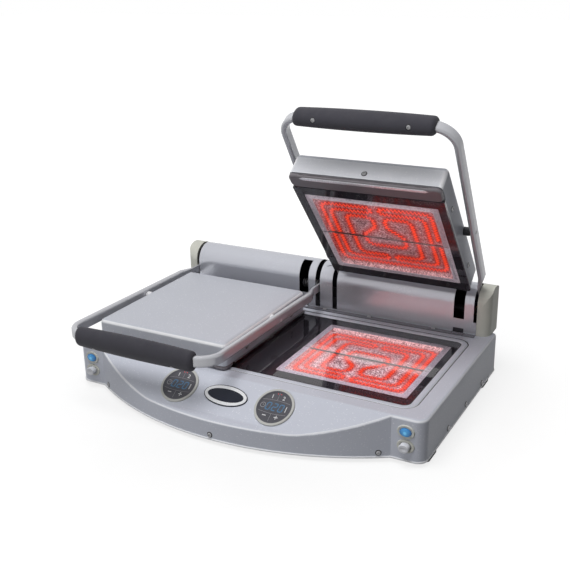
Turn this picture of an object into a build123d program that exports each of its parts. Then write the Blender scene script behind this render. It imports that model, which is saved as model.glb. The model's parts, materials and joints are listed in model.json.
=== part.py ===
from build123d import *
import os
from math import cos, radians, sin, sqrt, tan

# Double glass-ceramic contact grill: one wide base under two lids that lift by themselves.
# X runs to the right, Y to the back and Z up, in millimetres.
# The origin is on the table, under the middle of the footprint.

# Driving dimensions: hotplates and glass
heater_width = 220.0
heater_depth = 204.0
heater_height = 20.0
heater_rim = 10.0
heater_well_corner = 4.0
insulation_floor = 14.0
tray_sheet = 0.8
tray_gap = 0.2
tray_corner = 6.0
tray_drop = 4.0
glass_thickness = 4.0
glass_border_side = 11.4
glass_border_front = 23.4
glass_border_rear = 19.5
glass_corner = 10.0

# Driving dimensions: heating ribbon and limiter
ribbon_width = 5.0
ribbon_height = 2.0
ribbon_turn = 12.0
ring_clear = 8.0
ring_end_clear = 14.5
ring_step = 13.0
loop_step = 24.0
loop_front = 25.0
loop_rear = 24.5
bulb_half = 34.0
bulb_front = -3.0
bulb_rear = 25.0
neck_half = 10.0
turn_half = 7.0
terminal_half = 9.0
limiter_diameter = 2.6
limiter_drop = 0.4
limiter_end = 2.0
limiter_head_depth = 7.5
limiter_head_width = 24.0
limiter_head_height = 12.0

# Driving dimensions: base casing
wall_height = 68.7
sheet = 1.5
deck_side_margin = 40.5
deck_front_margin = 38.0
deck_rear_margin = 36.6
front_corner_radius = 16.0
rear_corner_radius = 6.0
deck_edge_radius = 5.0
corner_face_width = 50.5
bow_depth = 74.0
lip_height = 33.0
apron_angle = 32.5
apron_setback = 2.5
deck_bend_radius = 6.0
lip_bend_radius = 12.0
bow_edge_radius = 4.0
bead_width = 14.0
bead_depth = 1.2
glass_recess = 1.5
seal_width = 2.0
seal_lip = 1.0
ledge_width = 8.0
pan_flange = 14.0
pan_sheet = 1.5
pan_gap = 0.2
foot_height = 6.0
foot_length = 37.0
foot_width = 24.0
foot_corner = 5.0
foot_side_inset = 3.0
foot_front_inset = 38.0
foot_rear_inset = 52.0
bracket_width = 20.0
bracket_sheet = 2.0
bracket_place = 62.0
bracket_end_inset = 20.0
bracket_foot = 12.0

# Driving dimensions: hinge housing
housing_depth = 60.5
housing_height = 82.8
housing_overlap = 28.5
housing_flange = 12.0
bed_thickness = 3.0
bed_upstand = 22.0
end_block_inset = 6.5
end_block_width = 22.0
end_block_corner = 15.0
end_block_wall = 4.0
arm_slot_gap = 0.9
inner_slot_gap = 2.6
slot_foot = 23.0
slot_rear = 16.0
duct_width = 18.7
duct_place = 102.2
duct_foot = 26.0
duct_reach = 22.7
duct_door_gap = 4.0
duct_sill = 9.0
wiring_width = 80.0
wiring_front = 6.0
wiring_rear = 4.5
bearing_plate = 4.0
bearing_inset = 12.0
bearing_eye_wall = 5.0
bush_wall = 2.5
spring_wire = 2.5
spring_turns = 8
spring_pitch = 4.0

# Driving dimensions: arms and grip
hinge_height = 29.3
hinge_setback = 40.5
shaft_diameter = 12.0
shaft_end = 2.0
arm_thickness = 10.0
arm_height = 18.0
arm_corner = 4.0
arm_offset = 7.7
arm_reach = 414.0
arm_bend_radius = 35.0
arm_side_gap = 9.3
station_gap = 9.3
closed_angle = 0.8
open_angle = 57.3
lid_tilt = 5.9
blade_thickness = 4.0
blade_height = 14.0
blade_corner = 1.0
blade_step = 7.5
blade_length = 60.0
blade_taper = 28.0
blade_eye_wall = 6.0
grip_length = 224.0
grip_depth = 27.0
grip_height = 36.5
grip_end_depth = 24.5
grip_end_height = 32.0
grip_end_radius = 7.0
grip_screw_inset = 37.0
grip_screw_seat = 14.4
grip_screw_lean = 25.0

# Driving dimensions: lids
lid_side_border = 13.75
lid_rear_border = 18.0
lid_front_overhang = 47.4
lid_height = 37.5
lid_edge_radius = 8.0
lid_closed_gap = 2.3
lid_pivot_reach = 201.5
lid_pivot_drop = 3.5
lid_screw_height = 10.0
lid_screw_front_inset = 65.4
lid_screw_rear_inset = 52.0
pivot_diameter = 6.0
pivot_collar_diameter = 14.0
pivot_nut_diameter = 8.0
pivot_bite = 3.0
rail_depth = 28.0
rail_height = 7.2
rail_end_radius = 9.0
rail_round = 3.2
rail_groove = 2.4
rail_groove_depth = 1.2
frame_height = 20.0
frame_sheet = 2.0
frame_gap = 0.2
frame_corner = 4.5
upper_glass_corner = 2.0

# Driving dimensions: controls
control_spacing = 84.65
bezel_diameter = 63.0
bezel_width = 5.5
bezel_height = 2.5
bezel_round = 1.25
bezel_neck_length = 4.5
panel_recess = 0.6
panel_thickness = 3.0
board_sheet = 1.6
board_gap = 6.0
board_inset = 2.0
post_diameter = 4.0
post_inset = 4.0
badge_width = 76.0
badge_depth = 36.0
badge_thickness = 2.0
badge_round = 0.8
button_inset = 28.0
lit_button_height = 47.4
push_button_height = 24.8
button_bezel_diameter = 23.0
button_bezel_height = 2.0
button_bezel_lip = 2.0
button_bezel_round = 0.9
button_neck_length = 6.0
lit_button_diameter = 16.0
lit_button_stand = 1.0
lit_button_round = 0.4
push_button_diameter = 13.5
push_button_stand = 8.0
push_button_round = 1.0
button_depth = 5.0
button_travel = 3.0
stem_diameter = 5.0
stem_reach = 4.0
switch_depth = 22.0

# Driving dimensions: supply
power_board_width = 68.0
power_board_depth = 130.0
power_board_shift = -5.0
standoff_height = 8.0
standoff_diameter = 6.0
standoff_inset = 6.0
transformer_width = 28.0
transformer_depth = 40.0
transformer_height = 20.4
transformer_place = (-10.0, -15.0)
capacitor_diameter = 18.0
capacitor_height = 22.4
capacitor_place = (18.0, 35.0)
terminal_width = 60.0
terminal_depth = 20.0
terminal_height = 16.0
terminal_place = 55.0
terminal_count = 5
terminal_pitch = 12.0
terminal_hole_diameter = 5.2
terminal_hole_depth = 8.0
gland_inset = 90.0
gland_height = 38.0
gland_diameter = 18.0
gland_bore = 11.0
gland_flange = 4.0
gland_nut = 5.0
gland_reach = 14.0

# Driving dimensions: screws
screw_diameter = 3.5
screw_head_diameter = 7.0
screw_head_height = 2.2
screw_head_round = 1.0
screw_length = 8.0
grip_screw_length = 12.0
rear_screw_length = 6.0
foot_screw_bite = 2.0
casing_screw_height = 8.7
side_screw_pitch = 85.0
side_screw_shift = 24.6
front_screw_inset = 15.0
bed_screw_reach = 60.0
rear_screw_height = 14.0

# Clearances
slip = 0.3
running_fit = 0.05
thread_fit = 0.1
# How far a cutting body runs past the face that it cuts
past = 1.0

# Places that follow from the sizes above
lid_width = heater_width + 2 * lid_side_border
arm_inner = lid_width / 2 + arm_side_gap
arm_middle = arm_inner + arm_thickness / 2
arm_outer = arm_inner + arm_thickness
station_x = arm_outer + station_gap / 2
glass_width = 2 * station_x + heater_width + 2 * glass_border_side
glass_depth = heater_depth + glass_border_front + glass_border_rear
base_width = glass_width + 2 * deck_side_margin
housing_place = deck_front_margin + glass_depth + deck_rear_margin
overall_depth = bow_depth + housing_place + housing_depth
front_y = bow_depth - overall_depth / 2
glass_front_y = front_y + deck_front_margin
glass_rear_y = glass_front_y + glass_depth
glass_y = (glass_front_y + glass_rear_y) / 2
heater_y = glass_front_y + glass_border_front + heater_depth / 2
housing_front_y = front_y + housing_place
housing_rear_y = housing_front_y + housing_depth
base_rear_y = housing_front_y + housing_overlap
bottom_z = foot_height
pan_floor_z = bottom_z + pan_sheet
deck_z = bottom_z + wall_height
lip_z = bottom_z + lip_height
glass_top_z = deck_z - glass_recess
glass_bottom_z = glass_top_z - glass_thickness
ledge_z = glass_bottom_z - seal_lip
bed_top_z = deck_z + bed_thickness
housing_top_z = deck_z + housing_height
housing_radius = housing_depth / 2
hinge_y = housing_front_y + hinge_setback
hinge_z = deck_z + hinge_height
bow_half = base_width / 2 - corner_face_width
bow_radius = (bow_half**2 + bow_depth**2) / (2 * bow_depth)
bow_centre_y = front_y - bow_depth + bow_radius
block_outer_x = base_width / 2 - end_block_inset
block_inner_x = block_outer_x - end_block_width
apron_slope = tan(radians(apron_angle))
tray_half_width = heater_width / 2 + tray_gap + tray_sheet
tray_half_depth = heater_depth / 2 + tray_gap + tray_sheet
bezel_neck = bezel_diameter / 2 - bezel_width / 2
button_x = base_width / 2 - button_inset
button_neck = button_bezel_diameter / 2 - button_bezel_lip
casing_screw_z = bottom_z + casing_screw_height
front_screw_x = bow_half - front_screw_inset
bed_screw_y = housing_front_y - housing_flange / 2
gland_x = base_width / 2 - gland_inset
gland_z = bottom_z + gland_height
blade_x = arm_middle - blade_step
bearing_reach = blade_x - bearing_inset
arm_z = hinge_z + arm_offset
grip_y = hinge_y - arm_reach
lid_bottom_z = glass_top_z + lid_closed_gap
upper_glass_top_z = lid_bottom_z + glass_thickness
rail_top_z = lid_bottom_z + rail_height
lid_cover_z = rail_top_z + slip
lid_top_z = lid_cover_z + lid_height
lid_front_y = heater_y - heater_depth / 2 - lid_front_overhang
lid_rear_y = heater_y + heater_depth / 2 + lid_rear_border
lid_y = (lid_front_y + lid_rear_y) / 2
lid_depth = lid_rear_y - lid_front_y
lid_screw_z = lid_cover_z + lid_screw_height
upper_glass_front_y = lid_front_y + rail_depth + slip
frame_top_z = upper_glass_top_z + frame_height
SIDES = (-1, 1)
STATIONS = {"left": -station_x, "right": station_x}


def box(x0, x1, y0, y1, z0, z1):
    """A block between two places on each axis, given in either order."""
    middle = Location(((x0 + x1) / 2, (y0 + y1) / 2, (z0 + z1) / 2))
    return middle * Box(abs(x1 - x0), abs(y1 - y0), abs(z1 - z0))


def slab(width, depth, corner, centre, z0, z1):
    """A rounded rectangular prism about a plan centre."""
    plan = Plane(origin=(centre[0], centre[1], min(z0, z1))) * RectangleRounded(width, depth, corner)
    return extrude(plan, amount=abs(z1 - z0), dir=(0, 0, 1))


def rod(radius, start, end):
    """A cylinder from one point to another."""
    way = Vector(*end) - Vector(*start)
    return extrude(Plane(origin=start, z_dir=way) * Circle(radius), amount=way.length)


def cross_rod(radius, x0, x1, place):
    """A cylinder along X through a place in Y and Z."""
    y, z = place
    return rod(radius, (x0, y, z), (x1, y, z))


def cross_plane(x):
    """A plane across X, whose own axes run along Y and Z."""
    return Plane(origin=(x, 0, 0), x_dir=(0, 1, 0), z_dir=(1, 0, 0))


def side_prism(points, x0, x1, radii):
    """A Y-Z outline, with some corners rounded, drawn out along X."""
    outline = make_face(Polyline(*points, close=True))
    for (y, z), radius in radii.items():
        corner = outline.vertices().sort_by_distance((y, z, 0))[0]
        outline = fillet(corner, radius)
    return extrude(cross_plane(x0) * outline, amount=x1 - x0)


def group(*shapes):
    return Compound(children=[solid for shape in shapes for solid in shape.solids()])


def single(shape):
    """The one solid that a chain of cuts leaves."""
    return shape.solids().sort_by(lambda solid: solid.volume)[-1]


def screw(seat, way, length=screw_length):
    """A pan-head screw whose head sits on a seat and whose shank runs along a way."""
    seat = Vector(*seat)
    way = Vector(*way).normalized()
    crown = seat - way * screw_head_height
    head = rod(screw_head_diameter / 2, crown, seat)
    rim = head.edges().filter_by(GeomType.CIRCLE).sort_by_distance(crown)[0]
    return fillet(rim, screw_head_round) + rod(screw_diameter / 2, seat, seat + way * length)


def screw_hole(seat, way, fit, length=screw_length):
    seat = Vector(*seat)
    way = Vector(*way).normalized()
    return rod(screw_diameter / 2 + fit, seat - way * past, seat + way * (length + past))


# Base casing
def apron_line(inset):
    """The side view of the sloping apron: its bend at the deck and its bend at the lip."""
    drop = inset / cos(radians(apron_angle))
    deck = deck_z - inset
    lip = lip_z - inset
    bend_y = front_y + apron_setback - (deck_z - deck - drop) / apron_slope
    foot_y = front_y + apron_setback - (deck_z - lip - drop) / apron_slope
    return (bend_y, deck), (foot_y, lip)


def block_plan(inset):
    """The footprint behind the front corners, with its corners rounded."""
    half = base_width / 2 - inset
    front = front_y + inset
    rear = base_rear_y - inset
    plan = make_face(Polyline((-half, front), (half, front), (half, rear), (-half, rear), close=True))
    plan = fillet(plan.vertices().group_by(Axis.Y)[0], front_corner_radius - inset)
    return fillet(plan.vertices().group_by(Axis.Y)[-1], rear_corner_radius - inset)


def bow_back(inset):
    """How far back the bowed front is drawn inside the casing."""
    bend, _ = apron_line(inset)
    return bend[0] + 3 * deck_bend_radius


def bow_half_width(inset):
    """Half the bow's width where its arc ends inside the casing."""
    return sqrt((bow_radius - inset) ** 2 - (bow_centre_y - bow_back(inset)) ** 2)


def bow_plan(inset):
    """The footprint of the bowed front: an arc and its chord inside the casing."""
    half = bow_half_width(inset)
    back = bow_back(inset)
    tip = front_y - bow_depth + inset
    arc = ThreePointArc((-half, back), (0, tip), (half, back))
    return make_face(Wire(arc.edges() + Line((half, back), (-half, back)).edges()))


def raised(plan, z0, z1):
    return extrude(Plane.XY.offset(z0) * plan, amount=z1 - z0)


def on_bow(edge, radius):
    """True for an edge that follows the bowed front wall and isn't upright."""
    places = [edge @ share for share in (0, 0.5, 1)]
    reach = [sqrt(place.X**2 + (place.Y - bow_centre_y) ** 2) for place in places]
    level = abs(places[0].X - places[2].X) > bow_edge_radius
    return level and all(abs(distance - radius) < slip / 10 for distance in reach)


def casing_form(inset, floor):
    """The filled outer form of the casing, moved inwards by an inset."""
    deck = deck_z - inset
    body = raised(block_plan(inset), floor, deck)
    body = fillet(body.edges().group_by(Axis.Z)[-1], deck_edge_radius - inset)
    bow = raised(bow_plan(inset), floor, deck)

    bend, foot = apron_line(inset)
    back = bow_back(inset)
    high = deck_z + 2 * deck_edge_radius
    far = front_y - 2 * bow_depth
    above = [(back, high), (far, high), (far, foot[1]), foot, bend, (back, bend[1])]
    bends = {foot: lip_bend_radius + inset, bend: deck_bend_radius - inset}
    body -= side_prism(above, inset - bow_half, bow_half - inset, bends)
    bow -= side_prism(above, -bow_half_width(inset), bow_half_width(inset), bends)
    middle_z = (bottom_z + lip_z) / 2
    rim = [e for e in bow.edges() if on_bow(e, bow_radius - inset) and e.center().Z > middle_z]
    bow = fillet(rim, bow_edge_radius - inset)
    return single(body + bow)


def around_glass(grow, z0, z1):
    """A slab that follows the lower glass, wider or narrower all round."""
    corner = max(glass_corner + grow, seal_width)
    return slab(glass_width + 2 * grow, glass_depth + 2 * grow, corner, (0, glass_y), z0, z1)


def glass_pocket(grow, drop):
    """What the bead round the glass and the glass seat take out of the deck."""
    bead = around_glass(bead_width + grow, deck_z - bead_depth - drop, deck_z + past)
    return bead + around_glass(seal_width + grow, ledge_z - drop, deck_z + past)


def apron_plane(x):
    """A plane on the sloping apron, half way from the lip to the deck."""
    bend, foot = apron_line(0)
    lean = radians(apron_angle)
    middle = (x, (bend[0] + foot[0]) / 2, (bend[1] + foot[1]) / 2)
    return Plane(origin=middle, x_dir=(1, 0, 0), z_dir=(0, -sin(lean), cos(lean)))


CONTROL_PLANES = [apron_plane(side * control_spacing) for side in SIDES]
BADGE_PLANE = apron_plane(0)
BUTTONS = {
    "lit_button": (lit_button_height, lit_button_diameter, lit_button_stand, lit_button_round),
    "push_button": (push_button_height, push_button_diameter, push_button_stand, push_button_round),
}


def button_places():
    """Each button's name, place on the front corners, cap diameter, stand and edge rounding."""
    for name, side in zip(STATIONS, SIDES):
        for kind, (height, cap, stand, edge) in BUTTONS.items():
            yield f"{name}_{kind}", (side * button_x, bottom_z + height), cap, stand, edge


def bow_point(x):
    return bow_centre_y - sqrt(bow_radius**2 - x**2)


def casing_screw_seats():
    """Where the casing is screwed to the bottom pan: seat and way."""
    seats = []
    for step in (-1, 0, 1):
        y = heater_y + side_screw_shift + step * side_screw_pitch
        for side in SIDES:
            seats.append(((side * base_width / 2, y, casing_screw_z), (-side, 0, 0)))
        x = step * front_screw_x
        seats.append(((x, bow_point(x), casing_screw_z), (-x, bow_centre_y - bow_point(x), 0)))
    return seats


def bed_screw_seats():
    """Where the housing's flange is screwed through the deck."""
    places = [0] + [x + side * bed_screw_reach for x in STATIONS.values() for side in SIDES]
    return [((x, bed_screw_y, deck_z + sheet), (0, 0, -1)) for x in places]


def rear_screw_seats():
    """Where the back of the housing is screwed to the hinge bed."""
    return [((x, housing_rear_y, deck_z + rear_screw_height), (0, -1, 0)) for x in (-station_x, 0, station_x)]


def wiring_openings(z0, z1):
    """The wiring passages from the casing up into the housing, one a station."""
    half = wiring_width / 2
    front = housing_front_y + wiring_front
    rear = base_rear_y - wiring_rear
    return [box(x - half, x + half, front, rear, z0, z1) for x in STATIONS.values()]


def make_base_shell():
    shell = casing_form(0, bottom_z) - glass_pocket(0, 0)
    shell -= casing_form(sheet, bottom_z - past) - glass_pocket(sheet, sheet)
    shell -= around_glass(-ledge_width, ledge_z - 2 * sheet, deck_z)
    for plane in CONTROL_PLANES:
        shell -= extrude(plane * Circle(bezel_diameter / 2 + slip), amount=3 * bezel_height)
        shell -= extrude(plane * Circle(bezel_neck + slip), amount=4 * sheet, both=True)
    badge = Ellipse(badge_width / 2 + slip, badge_depth / 2 + slip)
    shell -= extrude(BADGE_PLANE * badge, amount=3 * badge_thickness)
    for _, (x, z), *_ in button_places():
        shell -= rod(button_neck + slip, (x, front_y - past, z), (x, front_y + 4 * sheet, z))
    for seat, way in casing_screw_seats() + bed_screw_seats():
        shell -= screw_hole(seat, way, slip)
    for opening in wiring_openings(deck_z - 3 * sheet, deck_z + past):
        shell -= opening
    wall = (gland_x, base_rear_y - 4 * sheet, gland_z)
    shell -= rod(gland_diameter / 2 + slip, wall, (gland_x, base_rear_y + past, gland_z))
    return single(shell)


def pan_form(inset, z0, z1):
    return single(raised(block_plan(inset), z0, z1) + raised(bow_plan(inset), z0, z1))


def foot_places():
    x = base_width / 2 - foot_width / 2 - foot_side_inset
    return [(s * x, y) for s in SIDES for y in (front_y + foot_front_inset, base_rear_y - foot_rear_inset)]


def make_bottom_pan():
    inset = sheet + pan_gap
    high = bottom_z + pan_flange
    pan = pan_form(inset, bottom_z, high) - pan_form(inset + pan_sheet, pan_floor_z, high + past)
    for seat, way in casing_screw_seats():
        pan -= screw_hole(seat, way, thread_fit)
    for x, y in foot_places():
        pan -= rod(screw_diameter / 2 + thread_fit, (x, y, bottom_z - past), (x, y, pan_floor_z + past))
    return single(pan)


def make_rubber_feet():
    feet = []
    for x, y in foot_places():
        foot = slab(foot_width, foot_length, foot_corner, (x, y), 0, foot_height)
        foot -= rod(screw_head_diameter / 2 + slip, (x, y, -past), (x, y, foot_height / 2))
        foot -= rod(screw_diameter / 2 + slip, (x, y, 0), (x, y, foot_height + past))
        feet.append(foot)
    return group(*feet)


def make_casing_screws():
    screws = [screw(seat, way) for seat, way in casing_screw_seats()]
    for x, y in foot_places():
        screws.append(screw((x, y, foot_height / 2), (0, 0, 1), foot_height / 2 + foot_screw_bite))
    return group(*screws)


# Lower glass and heaters
def make_lower_glass():
    return around_glass(0, glass_bottom_z, glass_top_z)


def make_glass_seal():
    """A soft ring under the edge of the glass and round it."""
    seal = around_glass(seal_width - running_fit, ledge_z, glass_top_z - slip)
    seal -= around_glass(running_fit, glass_bottom_z, glass_top_z + past)
    seal -= around_glass(-ledge_width, ledge_z - past, glass_top_z)
    return single(seal)


def ribbon_path():
    """One unbroken ribbon: two outer passes, then an inner loop with a bulb in the middle."""
    outer_x = heater_width / 2 - heater_rim - ring_clear
    outer_y = heater_depth / 2 - heater_rim - ring_end_clear
    second_x = outer_x - ring_step
    second_y = outer_y - ring_step
    loop_x = second_x - loop_step
    front = loop_front - outer_y
    rear = outer_y - loop_rear
    half = [
        (bulb_half, bulb_rear),
        (bulb_half, bulb_front),
        (neck_half, bulb_front + neck_half - bulb_half),
        (neck_half, front),
        (loop_x, front),
        (loop_x, rear),
        (turn_half, rear),
        (turn_half, second_y),
        (second_x, second_y),
        (second_x, -second_y),
        (turn_half, -second_y),
        (turn_half, -outer_y),
        (outer_x, -outer_y),
    ]
    left = [(-x, y) for x, y in half] + [(-outer_x, outer_y), (outer_x, outer_y), (outer_x, terminal_half)]
    right = half + [(outer_x, -terminal_half)]
    route = left[::-1] + right
    runs = [sqrt((x1 - x0) ** 2 + (y1 - y0) ** 2) for (x0, y0), (x1, y1) in zip(route, route[1:])]
    turns = [min(ribbon_turn, 0.48 * run, 0.48 * following) for run, following in zip(runs, runs[1:])]
    return FilletPolyline(*route, radius=turns)


def heater_pieces(x, rim_z, up, head_way):
    """Tray, insulation, ribbon and limiter of one heater.

    The rim at rim_z presses on the glass, up is 1 for a heater that faces up and -1 for one
    that faces down, and the limiter's head is on the side that head_way points to.
    """

    def level(depth):
        return rim_z - up * depth

    def shaped(width, depth, corner, near, far):
        return slab(width, depth, corner, (x, heater_y), level(near), level(far))

    floor = heater_height - tray_sheet
    well_floor = floor - insulation_floor
    inner_width = heater_width + 2 * tray_gap
    inner_depth = heater_depth + 2 * tray_gap
    tray = shaped(2 * tray_half_width, 2 * tray_half_depth, tray_corner, tray_drop, heater_height)
    tray -= shaped(inner_width, inner_depth, tray_corner - tray_sheet, 0, floor)
    board = shaped(heater_width, heater_depth, tray_corner - tray_sheet - tray_gap, 0, floor)
    well_width = heater_width - 2 * heater_rim
    board -= shaped(well_width, heater_depth - 2 * heater_rim, heater_well_corner, -past, well_floor)

    rod_depth = limiter_diameter / 2 + limiter_drop
    rod_place = (heater_y, level(rod_depth))
    groove = limiter_diameter / 2 + slip
    edge_x = x + head_way * (tray_half_width + slip)
    end_x = x - head_way * (heater_width / 2 - limiter_end)
    groove_x = end_x - head_way * slip
    board -= cross_rod(groove, edge_x, groove_x, rod_place)
    board -= box(edge_x, groove_x, heater_y - groove, heater_y + groove, level(-past), level(rod_depth))
    tray -= box(edge_x, x, heater_y - groove, heater_y + groove, level(0), level(rod_depth + groove))
    head_x = edge_x + head_way * limiter_head_depth
    half_head = limiter_head_width / 2
    head_top = level(limiter_drop / 2)
    head_foot = level(limiter_drop / 2 + limiter_head_height)
    limiter = cross_rod(limiter_diameter / 2, head_x, end_x, rod_place)
    limiter += box(edge_x, head_x, heater_y - half_head, heater_y + half_head, head_top, head_foot)

    band = offset(ribbon_path().wire(), amount=ribbon_width / 2, side=Side.BOTH)
    lower = min(level(well_floor - ribbon_height), level(well_floor))
    ribbon = Location((x, heater_y, lower)) * extrude(make_face(band), amount=ribbon_height)
    pieces = {"tray": tray, "insulation": board, "element": ribbon, "limiter": limiter}
    return {name: single(shape) for name, shape in pieces.items()}


def make_heater_brackets():
    """Four hat-shaped bars that lift the lower heaters against the glass."""
    high = glass_bottom_z - heater_height
    reach = heater_depth / 2 - bracket_end_inset
    bars = []
    for middle in (x + side * bracket_place for x in STATIONS.values() for side in SIDES):
        x0 = middle - bracket_width / 2
        x1 = middle + bracket_width / 2
        bar = box(x0, x1, heater_y - reach, heater_y + reach, high - bracket_sheet, high)
        for end in SIDES:
            outer = heater_y + end * reach
            inner = outer - end * bracket_sheet
            toe = outer + end * bracket_foot
            bar += box(x0, x1, inner, outer, pan_floor_z, high)
            bar += box(x0, x1, inner, toe, pan_floor_z, pan_floor_z + bracket_sheet)
        bars.append(bar)
    return group(*bars)


# Hinge housing
def housing_prism(inset, floor, x0, x1):
    """The housing's form along X: upright front and back under a half-round top."""
    front = housing_front_y + inset
    rear = housing_rear_y - inset
    shoulder = housing_top_z - housing_radius
    arc = ThreePointArc((front, shoulder), ((front + rear) / 2, housing_top_z - inset), (rear, shoulder))
    walls = Polyline((rear, shoulder), (rear, floor), (front, floor), (front, shoulder))
    return extrude(cross_plane(x0) * make_face(Wire(arc.edges() + walls.edges())), amount=x1 - x0)


def make_hinge_cover():
    """The folded cover over the hinges, slotted for the arms and for the lids' ducts."""
    half = block_inner_x - slip
    front = housing_front_y - past
    rear = housing_rear_y - slot_rear
    top = housing_top_z + past
    flange_front = housing_front_y - housing_flange
    cover = housing_prism(0, deck_z, -half, half)
    cover -= housing_prism(sheet, deck_z - past, -half - past, half + past)
    cover += box(-half, half, flange_front, housing_front_y + sheet, deck_z, deck_z + sheet)
    for x, out in zip(STATIONS.values(), SIDES):
        outer_slot = x + out * (blade_x - blade_thickness / 2 - arm_slot_gap)
        cover -= box(outer_slot, out * (half + past), front, rear, deck_z + slot_foot, top)
        inner_blade = x - out * blade_x
        inner_half = blade_thickness / 2 + inner_slot_gap
        cover -= box(inner_blade - inner_half, inner_blade + inner_half, front, rear, bed_top_z, top)
        x0 = x + duct_place - duct_width / 2
        x1 = x + duct_place + duct_width / 2
        cover -= box(x0, x1, front, housing_front_y + duct_reach, deck_z + duct_foot, top)
        sill_rear = housing_front_y + 2 * sheet
        cover -= box(x0, x1, flange_front - past, sill_rear, deck_z - past, deck_z + duct_sill)
    for seat, way in bed_screw_seats() + rear_screw_seats():
        cover -= screw_hole(seat, way, slip)
    return single(cover)


def make_hinge_bed():
    """The plate under the housing that carries the bearings and the rear edge of the cover."""
    half = block_inner_x - 2 * slip
    front = housing_front_y + sheet + slip
    rear = housing_rear_y - sheet - slip
    bed = box(-half, half, front, rear, deck_z, bed_top_z)
    bed += box(-half, half, rear - bed_thickness, rear, deck_z, deck_z + bed_upstand)
    for seat, way in rear_screw_seats():
        bed -= screw_hole(seat, way, thread_fit)
    for x in STATIONS.values():
        middle = x + duct_place
        half_door = duct_width / 2 - slip
        door_top = deck_z + duct_foot - duct_door_gap
        bed += box(middle - half_door, middle + half_door, front, front + sheet, deck_z, door_top)
    for opening in wiring_openings(deck_z - past, bed_top_z + past):
        bed -= opening
    return single(bed)


def bearing_spans():
    """The two ends along X of each of the four bearings."""
    places = [x + side * bearing_reach for x in STATIONS.values() for side in SIDES]
    return [(x - bearing_plate / 2, x + bearing_plate / 2) for x in places]


HINGE = (hinge_y, hinge_z)
bush_radius = shaft_diameter / 2 + bush_wall


def make_bearing_brackets():
    """Upright plates with a round top that hold the hinge shafts."""
    eye = bush_radius + bearing_eye_wall
    plates = []
    for x0, x1 in bearing_spans():
        plate = box(x0, x1, hinge_y - eye, hinge_y + eye, bed_top_z, hinge_z)
        plate += cross_rod(eye, x0, x1, HINGE)
        plates.append(plate - cross_rod(bush_radius + running_fit, x0 - past, x1 + past, HINGE))
    return group(*plates)


def make_bearing_bushes():
    bore = shaft_diameter / 2 + running_fit
    bushes = []
    for x0, x1 in bearing_spans():
        bushes.append(cross_rod(bush_radius, x0, x1, HINGE) - cross_rod(bore, x0 - past, x1 + past, HINGE))
    return group(*bushes)


def make_housing_screws():
    screws = [screw(seat, way) for seat, way in bed_screw_seats()]
    screws += [screw(seat, way, rear_screw_length) for seat, way in rear_screw_seats()]
    return group(*screws)


def make_end_block(side):
    """A cast cap at one end of the housing, hollow towards the middle."""
    inner = block_inner_x
    outer = block_outer_x
    front = housing_front_y
    rear = housing_rear_y
    plan = make_face(Polyline((inner, front), (outer, front), (outer, rear), (inner, rear), close=True))
    plan = fillet(plan.vertices().group_by(Axis.X)[-1], end_block_corner)
    block = housing_prism(0, deck_z, inner, outer) & raised(plan, deck_z - past, housing_top_z + past)
    hollow_end = outer - end_block_corner
    block -= housing_prism(end_block_wall, deck_z + end_block_wall, inner - past, hollow_end)
    if side < 0:
        block = mirror(block, about=Plane.YZ)
    return single(block)


def make_balance_springs():
    """A torsion spring round each hinge shaft, beside the bearing nearest the middle of the grill."""
    radius = shaft_diameter / 2 + slip + spring_wire / 2
    line = Helix(pitch=spring_pitch, height=spring_turns * spring_pitch, radius=radius)
    section = Plane(origin=line @ 0, z_dir=line % 0) * Circle(spring_wire / 2)
    coil = sweep(section, path=line, is_frenet=True)
    springs = []
    for x, out in zip(STATIONS.values(), SIDES):
        start = x - out * (bearing_reach - bearing_plate / 2 - slip - spring_wire / 2)
        springs.append(Location((start, hinge_y, hinge_z), (0, 90 * out, 0)) * coil)
    return group(*springs)


# Controls on the apron
def make_control_bezels():
    bezels = []
    for plane in CONTROL_PLANES:
        ring = extrude(plane * Circle(bezel_diameter / 2), amount=bezel_height)
        rim = ring.edges().filter_by(GeomType.CIRCLE).sort_by_distance(plane.offset(bezel_height).origin)[0]
        ring = fillet(rim, bezel_round)
        ring += extrude(plane * Circle(bezel_neck), amount=-bezel_neck_length)
        hole = Circle(bezel_diameter / 2 - bezel_width)
        bezels.append(ring - extrude(plane * hole, amount=2 * bezel_neck_length, both=True))
    return group(*bezels)


panel_radius = bezel_diameter / 2 - bezel_width - running_fit
panel_back = bezel_height - panel_recess - panel_thickness


def make_control_panels():
    """Flat touch panels inside the bezels."""
    planes = [plane.offset(panel_back) for plane in CONTROL_PLANES]
    return group(*[extrude(plane * Circle(panel_radius), amount=panel_thickness) for plane in planes])


def make_control_boards():
    """Round boards behind the touch panels, on three posts each."""
    boards = []
    radius = panel_radius - board_inset
    for plane in CONTROL_PLANES:
        back = plane.offset(panel_back - board_gap)
        board = extrude(back * Circle(radius), amount=board_sheet)
        for post in back * PolarLocations(radius - post_inset, 3):
            board += extrude(post * Circle(post_diameter / 2), amount=board_gap)
        boards.append(board)
    return group(*boards)


def make_badge_plate():
    """The bare oval plate between the two control panels."""
    plate = extrude(BADGE_PLANE * Ellipse(badge_width / 2, badge_depth / 2), amount=badge_thickness)
    rim = plate.edges().sort_by_distance(BADGE_PLANE.offset(4 * badge_thickness).origin)[0]
    return single(fillet(rim, badge_round))


# Buttons on the front corners
def make_button_bezels():
    bezels = []
    for _, (x, z), cap, *_ in button_places():
        face = (x, front_y, z)
        back = front_y + button_neck_length
        ring = rod(button_bezel_diameter / 2, (x, front_y - button_bezel_height, z), face)
        ring = fillet(ring.edges().filter_by(GeomType.CIRCLE).sort_by(Axis.Y)[0], button_bezel_round)
        ring += rod(button_neck, face, (x, back, z))
        bore = rod(cap / 2 + slip, (x, front_y - button_bezel_height - past, z), (x, back + past, z))
        bezels.append(ring - bore)
    return group(*bezels)


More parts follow.
